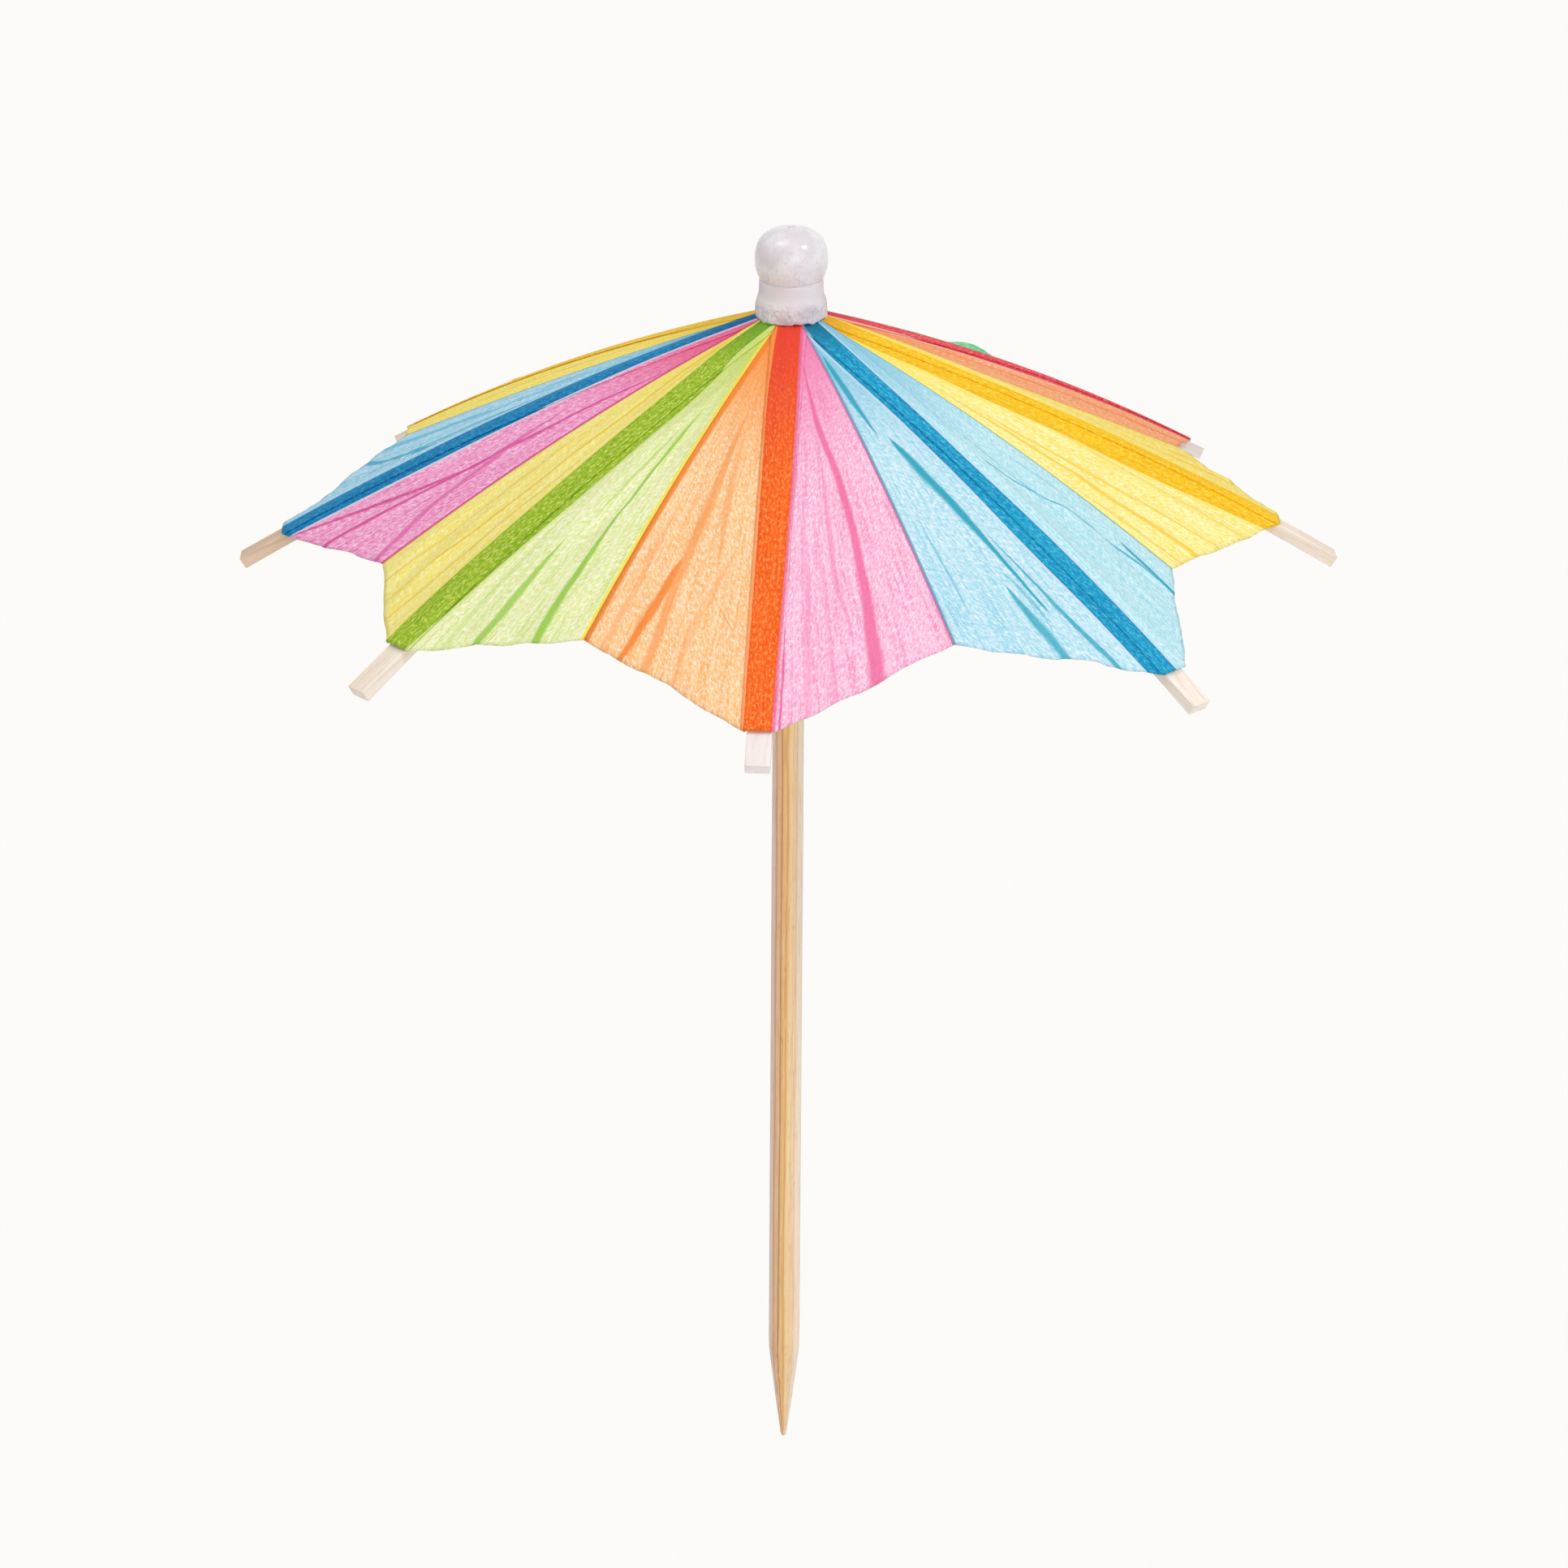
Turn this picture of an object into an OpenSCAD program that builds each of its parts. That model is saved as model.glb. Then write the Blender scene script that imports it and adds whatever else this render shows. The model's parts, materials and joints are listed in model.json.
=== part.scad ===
// Cocktail umbrella pick: a bamboo pick with a folding eight-rib paper canopy.
// Millimetres, +Z up. The origin is on the pick's axis at the shoulder where its point starts.
// Front is -Y. Ribs are numbered from the front, clockwise as seen from above.

/* [Pick] */
// Diameter of the bamboo pick
pick_d = 2.4; // [2:0.1:3]
// Length of the sharpened point
point_len = 8.7; // [6:0.1:12]
// Width left at the very tip
tip_d = 0.16; // [0.1:0.02:0.4]
// Length of pick above the shoulder that keeps its full diameter
bare_len = 40; // [30:1:41]
// Diameter that the pick tapers to at its top, inside the bead
pick_top_d = 2.3; // [2:0.02:2.4]

/* [Top hub] */
// Height of the rib hinges above the shoulder
hinge_z = 83; // [80:0.1:86]
// Wall of the hub and the runner inside their notches
notch_wall = 0.54; // [0.45:0.01:0.75]
// Rim of the hub outside the hinge wire
hub_rim = 0.6; // [0.5:0.05:0.8]
// Height of the hub above the hinges, at the core
hub_above = 1.05; // [0.9:0.05:1.15]
// Height of the hub below the hinges
hub_below = 1.7; // [1.4:0.1:2]
// Chamfer of the hub's lower edge
hub_chamfer = 0.35; // [0.2:0.05:0.5]
// Diameter of the hinge wire
wire_d = 0.4; // [0.3:0.02:0.46]

/* [Ribs] */
// Length of a rib from its hinge to its tip
rib_len = 42.4; // [40:0.1:45]
// Thickness of a rib
rib_t = 0.9; // [0.8:0.05:1.2]
// Width of a rib at its tip
rib_tip_w = 1.8; // [1.6:0.05:2.2]
// Width of a rib where its neck ends
rib_root_w = 1.25; // [1.1:0.05:1.5]
// Width of the neck that enters the hub's notch
neck_w = 0.9; // [0.8:0.02:1]
// Length of the neck
neck_len = 3.2; // [3:0.1:4]
// Length over which the neck widens into the strip
shoulder_len = 0.4; // [0.2:0.1:0.8]
// How far a rib bows upward at its middle
rib_bow = 1.0; // [0.5:0.1:1.5]
// Slope of an open rib below level, in degrees
rib_slope = 26.04; // [22:0.01:30]
// How far a folding rib turns, in degrees
fold_angle = 54; // [40:1:55]
// Drop of the hinge below the rib's middle line
heel_drop = 0.45; // [0.3:0.05:0.6]
// Wood round the hinge wire and round the stretcher's pins
eye_wall = 0.28; // [0.2:0.02:0.32]

/* [Stretchers] */
// Distance along a rib from its hinge to the stretcher's pin
pin_at = 18; // [16:0.5:20]
// Diameter of the stretcher's pins
pin_d = 0.44; // [0.36:0.02:0.5]
// How much shorter a pin is than its rib is wide
pin_short = 0.06; // [0.02:0.02:0.1]
// Length of the slot in a rib inward of the stretcher's pin
slot_in = 1.6; // [1.5:0.1:2]
// Length of that slot outward of the pin
slot_out = 2.8; // [2.4:0.1:3.2]
// Height of a stretcher strip
strip_h = 0.9; // [0.8:0.05:1]
// Width of a stretcher strip between its tongues
strip_w = 0.9; // [0.8:0.05:1]
// Thickness of a stretcher's tongues
tongue_w = 0.55; // [0.45:0.01:0.6]
// Length of a stretcher's tongue
tongue_len = 3.2; // [3.2:0.1:4]

/* [Runner and retaining ring] */
// Rim of the runner outside the stretchers' inner ends
runner_rim = 0.7; // [0.6:0.05:0.9]
// Height of the runner above the stretchers' inner ends
runner_above = 0.95; // [0.8:0.05:1.2]
// Height of the runner below them, which they drop through halfway down
runner_below = 3.65; // [3.6:0.05:4.2]
// Depth of the thread groove round the runner
groove_depth = 0.3; // [0.2:0.05:0.4]
// Half the height of that groove, and chamfer of the runner's upper edge
groove_half = 0.3; // [0.2:0.05:0.4]
// Chamfer of the runner's lower edge
runner_chamfer = 0.4; // [0.2:0.05:0.6]
// Height of the retaining ring
ring_h = 2.4; // [1.8:0.1:3]
// Wall of the retaining ring
ring_wall = 0.7; // [0.5:0.05:0.9]

/* [Paper canopy] */
// Thickness of the paper
paper_t = 0.12; // [0.08:0.01:0.15]
// Distance along a rib from its hinge to the paper's edge
paper_len = 38.6; // [36:0.1:39]
// Radius of the hole at the crown of the paper
crown_r = 1.5; // [1.4:0.05:1.6]
// Width of a gore's printed band at the crown
band_in_w = 0.7; // [0.6:0.02:0.8]
// Width of a gore's printed band at its edge
band_out_w = 2.16; // [2.1:0.02:2.5]
// Greatest upward bow of the paper along the valleys
valley_bow = 0.85; // [0.4:0.05:1.2]
// Height of the small waves along the paper's cut edge
edge_wave = 0.25; // [0:0.05:0.4]

/* [Finial] */
// Diameter of the glossy bead
bead_d = 5.4; // [5:0.05:5.7]
// Diameter of the neck between the bead and the crepe collar
waist_d = 4.84; // [4.5:0.02:4.9]
// Radius of the hollow where the bead runs into its neck
bead_fillet = 1.2; // [0.8:0.1:1.3]
// Diameter of the collar's flared skirt
skirt_d = 5.4; // [5.2:0.05:5.8]
// Height of the crepe collar
collar_h = 2.35; // [2:0.05:3]
// Height of the collar's edge above the ribs' tops at their hinges
collar_rise = 0.42; // [0.38:0.02:0.5]
// Height of the hollow under the collar, at the pick
collar_hollow = 0.75; // [0.6:0.05:0.9]
// Thickness of the collar's lower rim
skirt_rim = 0.25; // [0.15:0.05:0.4]
// Number of notches in the collar's torn edge
torn_count = 13; // [9:1:17]
// Height of the bead's centre above the collar
bead_lift = 1.85; // [1.6:0.05:2.2]
// Depth of the notches in the collar's torn edge
torn_depth = 0.3; // [0.15:0.05:0.35]
// How far the pick enters the bead
bead_bore = 2.6; // [2:0.1:3]

/* [Clearances] */
// Radial gap of a piece fixed on the pick or of a pin in its hole
fixed_gap = 0.01; // [0.005:0.005:0.02]
// Room behind a rib's eye and behind a stretcher's inner end
core_room = 0.2; // [0.15:0.05:0.3]
// Extra radius of a rib's eye for the curve of the wire in it
wire_room = 0.02; // [0.02:0.01:0.04]
// Radial gap of a piece that slides or turns
running_gap = 0.05; // [0.03:0.01:0.06]
// Gap on each side of a rib or tongue in its notch
side_gap = 0.07; // [0.05:0.01:0.08]
// Gap between the paper and what it lies on
paper_gap = 0.03; // [0.02:0.01:0.05]
// Gap between neighbouring gores
seam_gap = 0.06; // [0.04:0.01:0.1]

/* [Hidden] */
$fn = 64;
SIDES = ["front", "front_left", "left", "back_left", "back", "back_right", "right", "front_right"];
// Directions of the ribs, clockwise from the front in degrees: set by hand in hand-cut notches
RIB_TURN = [3, 48.5, 90, 132, 181, 231, 267.5, 314.5];
// Reach from the axis, and drop below the hinges, of the paper's edge between each rib and the next
VALLEY_REACH = [33.2, 31.7, 31.2, 31.5, 31.5, 31.4, 29.9, 32];
VALLEY_DROP = [12.9, 14.3, 12.3, 13.4, 13.4, 12.8, 14.5, 13.1];
// Share of the greatest bow that each of those valleys has
VALLEY_BOW = [1, 1, 0.5, 0.7, 0.7, 0.1, 1, 1];
// Printed colours of the gores in the same order
GORE_COLOURS = ["#ffc08a", "#d7ee96", "#9bd3ec", "#f5d746", "#6ecd6e", "#f58c5f", "#fce86e", "#a5d7eb"];

pick_r = pick_d / 2;
core_r = pick_r + fixed_gap + notch_wall;
slide_r = pick_r + running_gap;
eye_hole_r = wire_d / 2 + running_gap + wire_room;
eye_r = eye_hole_r + eye_wall;
pivot_r = core_r + eye_r + core_room;
hub_r = pivot_r + hub_rim;
bow_r = rib_len * rib_len / (8 * rib_bow) + rib_bow / 2;
half_turn = asin(rib_len / 2 / bow_r);

// Height of the rib's middle line, and of its top face, above the hinge in the rib's own frame
function rib_mid(s) = heel_drop + sqrt(pow(bow_r, 2) - pow(s - rib_len / 2, 2)) - (bow_r - rib_bow);
function rib_top(s) =
    heel_drop + sqrt(pow(bow_r + rib_t / 2, 2) - pow(s - rib_len / 2, 2)) - (bow_r - rib_bow);
// A point of the rib's own frame as [distance from the pick's axis, height]
function open_rib(s, z) = [
    pivot_r + s * cos(rib_slope) + z * sin(rib_slope),
    hinge_z - s * sin(rib_slope) + z * cos(rib_slope)
];

// The stretcher is as long as the hinge is from its pin, so its inner end travels straight down
pin_z = rib_mid(pin_at);
arm = norm([pin_at, pin_z]);
arm_drop = rib_slope - atan2(pin_z, pin_at);
eye_z = hinge_z - 2 * arm * sin(arm_drop);
travel = 2 * arm * (sin(arm_drop + fold_angle) - sin(arm_drop));
strip_eye_r = strip_h / 2;
runner_r = pivot_r + runner_rim;
runner_core_r = pivot_r - strip_eye_r - core_room;
runner_top = eye_z + runner_above;
runner_bottom = eye_z - runner_below;
ring_top = runner_bottom - running_gap;

collar_bottom = open_rib(0, rib_top(0))[1] + collar_rise;
collar_top = collar_bottom + collar_h;
bead_z = collar_top + bead_lift;
// The hollow meets the bead at this share of the way from the bead's centre to the hollow's
merge = bead_d / (bead_d + 2 * bead_fillet);
fillet_r = waist_d / 2 + bead_fillet;
fillet_z = bead_z - sqrt(pow(bead_d / 2 + bead_fillet, 2) - pow(fillet_r, 2));
pick_top = collar_top + fixed_gap + bead_bore;

// Radius of a bore that a fixed piece needs where its lower end sits on the tapering pick
function seat_r(z) =
    fixed_gap + pick_r + (pick_top_d / 2 - pick_r) * max(0, z - bare_len) / (pick_top - bare_len);

// Places a rib's own plane at its direction round the pick
module at_rib(k) {
    rotate([0, 0, -90 - RIB_TURN[k]]) children();
}

// Places the rib's own frame: X along the chord to the tip, Z out of its top, origin on the hinge
module on_rib(k) {
    at_rib(k) translate([pivot_r, 0, hinge_z]) rotate([0, rib_slope, 0]) children();
}

// A cylinder across a rib, through its own frame's Y
module across(r, w) {
    rotate([90, 0, 0]) cylinder(r = r, h = w, center = true);
}

// Notches for the ribs or the stretchers, from a floor radius outwards
module notches(floor_r, w, z0, z1) {
    for (k = [0:7])
        at_rib(k) translate([floor_r, -w / 2, z0 - 1]) cube([hub_r + runner_r, w, z1 - z0 + 2]);
}

module pick() {
    color("#e3bd84") {
        rotate_extrude()
            polygon([
                [0, -point_len], [tip_d / 2, -point_len],
                for (t = [0.15, 0.4, 0.7])
                    [tip_d / 2 + (pick_r - tip_d / 2) * pow(t, 0.85), (t - 1) * point_len],
                [pick_r, 0], [0, 0]
            ]);
        cylinder(r = pick_r, h = bare_len);
        translate([0, 0, bare_len])
            cylinder(r1 = pick_r, r2 = pick_top_d / 2, h = pick_top - bare_len);
    }
}

module top_hub() {
    bore_r = seat_r(hinge_z - hub_below);
    rim_top = hinge_z + hub_above - (hub_r - core_r) * sin(rib_slope);
    color("#d9b98a")
        difference() {
            rotate_extrude()
                polygon([
                    [bore_r, hinge_z - hub_below], [hub_r - hub_chamfer, hinge_z - hub_below],
                    [hub_r, hinge_z - hub_below + hub_chamfer], [hub_r, rim_top],
                    [core_r, hinge_z + hub_above], [bore_r, hinge_z + hub_above]
                ]);
            notches(core_r, neck_w + 2 * side_gap, hinge_z - hub_below, hinge_z + hub_above);
            translate([0, 0, hinge_z])
                rotate_extrude() translate([pivot_r, 0]) circle(r = wire_d / 2 + fixed_gap, $fn = 32);
        }
}

module hinge_wire() {
    color("#c9a14a")
        translate([0, 0, hinge_z]) rotate_extrude() translate([pivot_r, 0]) circle(d = wire_d, $fn = 32);
}

module crepe_collar() {
    bore_r = seat_r(collar_bottom);
    color("#f4f2ee")
        difference() {
            rotate_extrude()
                polygon([
                    [bore_r, collar_bottom + collar_hollow],
                    [skirt_d / 2 - skirt_rim, collar_bottom + skirt_rim / 2], [skirt_d / 2, collar_bottom],
                    [waist_d / 2, collar_top], [bore_r, collar_top]
                ]);
            for (i = [0:torn_count - 1])
                rotate([0, 0, i * 360 / torn_count + 6 * sin(i * 137)])
                    translate([skirt_d / 2, 0, collar_bottom - fixed_gap])
                        rotate([0, 90, 0])
                            cylinder(
                                r = torn_depth * (0.8 + 0.2 * cos(i * 97)), h = 1, center = true, $fn = 16
                            );
        }
}

module finial_bead() {
    color("white")
        difference() {
            rotate_extrude()
                intersection() {
                    union() {
                        translate([0, bead_z]) circle(d = bead_d, $fn = 96);
                        difference() {
                            translate([0, collar_top])
                                square([fillet_r * merge, bead_lift - (bead_z - fillet_z) * merge]);
                            translate([fillet_r, fillet_z]) circle(r = bead_fillet, $fn = 96);
                            translate([waist_d / 2, collar_top - 1])
                                square([bead_fillet, fillet_z - collar_top + 1]);
                        }
                    }
                    translate([0, collar_top]) square([bead_d, bead_d + bead_lift]);
                }
            translate([0, 0, collar_top - 1])
                cylinder(r = seat_r(collar_top), h = 1 + bead_bore + 2 * fixed_gap);
        }
}

// Outline of a rib from above: a narrow neck, then a strip that widens to its square-cut tip
module rib_plan() {
    polygon([
        [-1, -neck_w / 2], [neck_len, -neck_w / 2], [neck_len + shoulder_len, -rib_root_w / 2],
        [rib_len + 1, -rib_tip_w / 2], [rib_len + 1, rib_tip_w / 2],
        [neck_len + shoulder_len, rib_root_w / 2], [neck_len, neck_w / 2], [-1, neck_w / 2]
    ]);
}

module rib(k) {
    slot_w = tongue_w + 2 * side_gap;
    color("#e6cfa6")
        on_rib(k)
            difference() {
                union() {
                    intersection() {
                        translate([rib_len / 2, 0, heel_drop + rib_bow - bow_r])
                            rotate([90, 0, 0])
                                rotate([0, 0, 90 - half_turn])
                                    rotate_extrude(angle = 2 * half_turn, $fn = 720)
                                        translate([bow_r, 0]) square([rib_t, rib_tip_w + 1], center = true);
                        translate([0, 0, -rib_len]) linear_extrude(2 * rib_len) rib_plan();
                    }
                    across(eye_r, neck_w);
                    rotate([90, 0, 0])
                        linear_extrude(neck_w, center = true)
                            polygon([[0, -eye_r], [neck_len, rib_mid(neck_len)], [0, heel_drop]]);
                }
                across(eye_hole_r, 3 * neck_w);
                translate([pin_at - slot_in, -slot_w / 2, pin_z - 2 * rib_t])
                    cube([slot_in + slot_out, slot_w, 4 * rib_t]);
                translate([pin_at, 0, pin_z]) across(pin_d / 2 + fixed_gap, 2 * rib_tip_w);
            }
}

module rib_pin(k) {
    pin_share = (pin_at - neck_len) / (rib_len - neck_len);
    pin_w = rib_root_w + (rib_tip_w - rib_root_w) * pin_share;
    color("#b98f4e") on_rib(k) translate([pin_at, 0, pin_z]) across(pin_d / 2, pin_w - pin_short);
}

module stretcher(k) {
    color("#d8b880")
        at_rib(k)
            translate([pivot_r, 0, eye_z])
                rotate([0, -arm_drop, 0])
                    difference() {
                        union() {
                            across(strip_eye_r, tongue_w);
                            translate([arm, 0, 0]) across(strip_eye_r, tongue_w);
                            translate([0, -tongue_w / 2, -strip_h / 2]) cube([arm, tongue_w, strip_h]);
                            translate([tongue_len, -strip_w / 2, -strip_h / 2])
                                cube([arm - 2 * tongue_len, strip_w, strip_h]);
                        }
                        across(pin_d / 2 + running_gap / 2, 2 * strip_w);
                        translate([arm, 0, 0]) across(pin_d / 2 + running_gap / 2, 2 * strip_w);
                    }
}

module runner() {
    color("#d9b98a")
        difference() {
            rotate_extrude()
                polygon([
                    [slide_r, runner_bottom], [runner_r - runner_chamfer, runner_bottom],
                    [runner_r, runner_bottom + runner_chamfer], [runner_r, eye_z - groove_half],
                    [runner_r - groove_depth, eye_z], [runner_r, eye_z + groove_half],
                    [runner_r, runner_top - groove_half], [runner_r - groove_half, runner_top],
                    [slide_r, runner_top]
                ]);
            notches(runner_core_r, tongue_w + 2 * side_gap, runner_bottom, runner_top);
        }
}

module retaining_ring() {
    color("#f2f2f0")
        translate([0, 0, ring_top - ring_h])
            difference() {
                cylinder(r = slide_r + ring_wall, h = ring_h);
                translate([0, 0, -1]) cylinder(r = slide_r, h = ring_h + 2);
            }
}

// Half the angle from rib k to the next rib clockwise, in degrees
function half_gap(k) = let (a = RIB_TURN[(k + 1) % 8] - RIB_TURN[k]) (a < 0 ? a + 360 : a) / 2;

crown_s = (crown_r - pivot_r - rib_top(0) * sin(rib_slope)) / cos(rib_slope);
crown_z = open_rib(crown_s, rib_top(crown_s) + paper_gap)[1];

// Underside of a gore over its rib, at a share t of its length and y across
function band_point(t, y) =
    let (s = crown_s + t * (paper_len - crown_s), p = open_rib(s, rib_top(s) + paper_gap)) [p[0], y, p[1]];

// Underside of a gore along valley v, which lies at an angle from the gore's rib
function valley_point(t, v, angle) =
    let (
        r = crown_r + t * (VALLEY_REACH[v] - crown_r),
        z = crown_z + t * (hinge_z - VALLEY_DROP[v] - crown_z) + 4 * valley_bow * VALLEY_BOW[v] * t * (1 - t),
        back = seam_gap / 2 * sign(angle)
    ) [r * cos(angle) + back * sin(angle), r * sin(angle) - back * cos(angle), z];

// One row of a gore's underside, from the valley clockwise of its rib to the other valley
function gore_row(k, t) =
    let (
        w = (band_in_w + t * (band_out_w - band_in_w)) / 2,
        left = (k + 7) % 8,
        a = valley_point(t, k, -half_gap(k)),
        b = valley_point(t, left, half_gap(left)),
        out = t == 1 ? edge_wave : 0
    ) [
        for (v = [0:0.25:1]) a + v * (band_point(t, -w) - a) + [out * sin(540 * v), 0, 0],
        for (v = [0:0.25:1]) band_point(t, w) + v * (b - band_point(t, w)) + [out * sin(540 * v), 0, 0]
    ];

// A sheet of rows of points, thickened along lift, as a closed solid of triangles
module sheet(rows, lift) {
    n = len(rows[0]);
    m = len(rows);
    low = [for (row = rows) for (p = row) p];
    high = [for (p = low) p + lift];
    function lo(i, j) = i * n + j;
    function hi(i, j) = n * m + i * n + j;
    function quad(a, b, c, d) = [[a, b, c], [a, c, d]];
    polyhedron(
        points = concat(low, high),
        faces = [
            for (i = [0:m - 2]) for (j = [0:n - 2])
                each concat(
                    quad(hi(i, j), hi(i, j + 1), hi(i + 1, j + 1), hi(i + 1, j)),
                    quad(lo(i, j), lo(i + 1, j), lo(i + 1, j + 1), lo(i, j + 1))
                ),
            for (i = [0:m - 2])
                each concat(
                    quad(lo(i, 0), hi(i, 0), hi(i + 1, 0), lo(i + 1, 0)),
                    quad(hi(i, n - 1), lo(i, n - 1), lo(i + 1, n - 1), hi(i + 1, n - 1))
                ),
            for (j = [0:n - 2])
                each concat(
                    quad(lo(0, j), lo(0, j + 1), hi(0, j + 1), hi(0, j)),
                    quad(hi(m - 1, j), hi(m - 1, j + 1), lo(m - 1, j + 1), lo(m - 1, j))
                )
        ]
    );
}

module paper_gore(k) {
    color(GORE_COLOURS[k])
        at_rib(k)
            sheet([for (i = [0:8]) gore_row(k, i / 8)], paper_t * [sin(rib_slope), 0, cos(rib_slope)]);
}

pick();
top_hub();
hinge_wire();
crepe_collar();
finial_bead();
runner();
retaining_ring();
for (k = [0:7]) {
    rib(k);
    rib_pin(k);
    stretcher(k);
    paper_gore(k);
}
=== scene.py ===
"""Looks of the cocktail umbrella pick: printed crepe paper, bamboo, pale wood and a white bead.

Sizes are in millimetres in the constants and in metres in the scene. The CAD frame gives every
hinge, so each piece of paper is built in its own rib's plane: X outwards, Y across, Z up.
"""

import json
import math

import bpy
from mathutils import Matrix, Vector, noise


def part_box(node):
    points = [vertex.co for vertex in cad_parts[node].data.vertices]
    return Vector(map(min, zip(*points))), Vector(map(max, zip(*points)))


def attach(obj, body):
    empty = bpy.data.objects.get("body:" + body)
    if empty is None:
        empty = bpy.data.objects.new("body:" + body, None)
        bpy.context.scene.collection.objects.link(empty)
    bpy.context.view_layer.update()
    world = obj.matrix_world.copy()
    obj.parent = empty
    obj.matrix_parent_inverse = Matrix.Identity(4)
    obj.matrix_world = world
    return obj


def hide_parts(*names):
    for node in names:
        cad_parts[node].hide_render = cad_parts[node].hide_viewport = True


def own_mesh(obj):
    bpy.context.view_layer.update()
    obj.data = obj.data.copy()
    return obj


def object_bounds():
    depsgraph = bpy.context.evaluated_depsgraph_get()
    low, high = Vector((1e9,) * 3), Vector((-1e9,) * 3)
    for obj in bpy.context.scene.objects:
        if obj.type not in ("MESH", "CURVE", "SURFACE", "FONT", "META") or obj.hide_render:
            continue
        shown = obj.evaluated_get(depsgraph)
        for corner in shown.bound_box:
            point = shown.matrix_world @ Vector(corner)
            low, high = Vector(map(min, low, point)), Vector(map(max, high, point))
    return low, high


MM = 0.001
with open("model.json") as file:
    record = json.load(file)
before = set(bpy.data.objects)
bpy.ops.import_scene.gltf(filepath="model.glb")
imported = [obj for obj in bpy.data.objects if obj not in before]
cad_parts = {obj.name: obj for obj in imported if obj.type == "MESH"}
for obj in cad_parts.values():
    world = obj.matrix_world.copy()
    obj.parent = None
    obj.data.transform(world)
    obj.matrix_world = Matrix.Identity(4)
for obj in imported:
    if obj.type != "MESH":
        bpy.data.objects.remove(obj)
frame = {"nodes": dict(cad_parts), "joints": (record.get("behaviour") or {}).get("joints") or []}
cad_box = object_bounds()

# Sides round the pick, clockwise from the front as seen from above
SIDES = ["front", "front_left", "left", "back_left", "back", "back_right", "right", "front_right"]

# The CAD model's sizes that the paper follows
RIB_LEN, RIB_T, RIB_BOW, HEEL_DROP = 42.4, 0.9, 1.0, 0.45
RIB_SLOPE, FOLD = math.radians(26.04), math.radians(54)
CROWN_R, PAPER_GAP = 1.5, 0.03
BAND_IN_W, BAND_OUT_W = 0.7, 2.16
VALLEY_REACH = [33.2, 31.7, 31.2, 31.5, 31.5, 31.4, 29.9, 32]
VALLEY_DROP = [12.9, 14.3, 12.3, 13.4, 13.4, 12.8, 14.5, 13.1]
VALLEY_BOW = [0.85 * share for share in (1, 1, 0.5, 0.7, 0.7, 0.1, 1, 1)]

# The paper as it is drawn here
SHEET_T = 0.08
PAPER_LENS = [39.6, 38.1, 38.6, 40.4, 39.4, 40.4, 37.2, 39.3]  # where it ends along each rib
PANEL_LIFT, BAND_LIFT = 0.05, 0.15
WING_Y = 1.3  # how far the strips beside a band reach across
TUCK_Y = 1.0  # where a half panel starts, under that strip
WING_SHARE, TUCK_SHARE = 0.95, 0.6  # the most of the half gore's width that each of them takes
WING_FROM = 0.04  # share of the length over which a strip near the crown keeps its reach
FOLD_Y = 1.35  # the line beside a band that a half panel folds towards
ROWS, COLUMNS = 84, 34
WING_COLUMNS, INSIDE_COLUMNS = 5, 9  # of a band: in the strip on each side, and over the rib
BAND_RISE = 0.06  # how far the middle of a band bulges over its edges
PAPER_SHINE = 0.25
HANDS = {-1: "left", 1: "right"}  # a gore's halves, seen from outside


def srgb(red, green, blue):
    """A colour as seen, from 0 to 255, as a linear colour."""
    parts = [c / 255 for c in (red, green, blue)]
    return [c / 12.92 if c <= 0.04045 else ((c + 0.055) / 1.055) ** 2.4 for c in parts] + [1.0]


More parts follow.
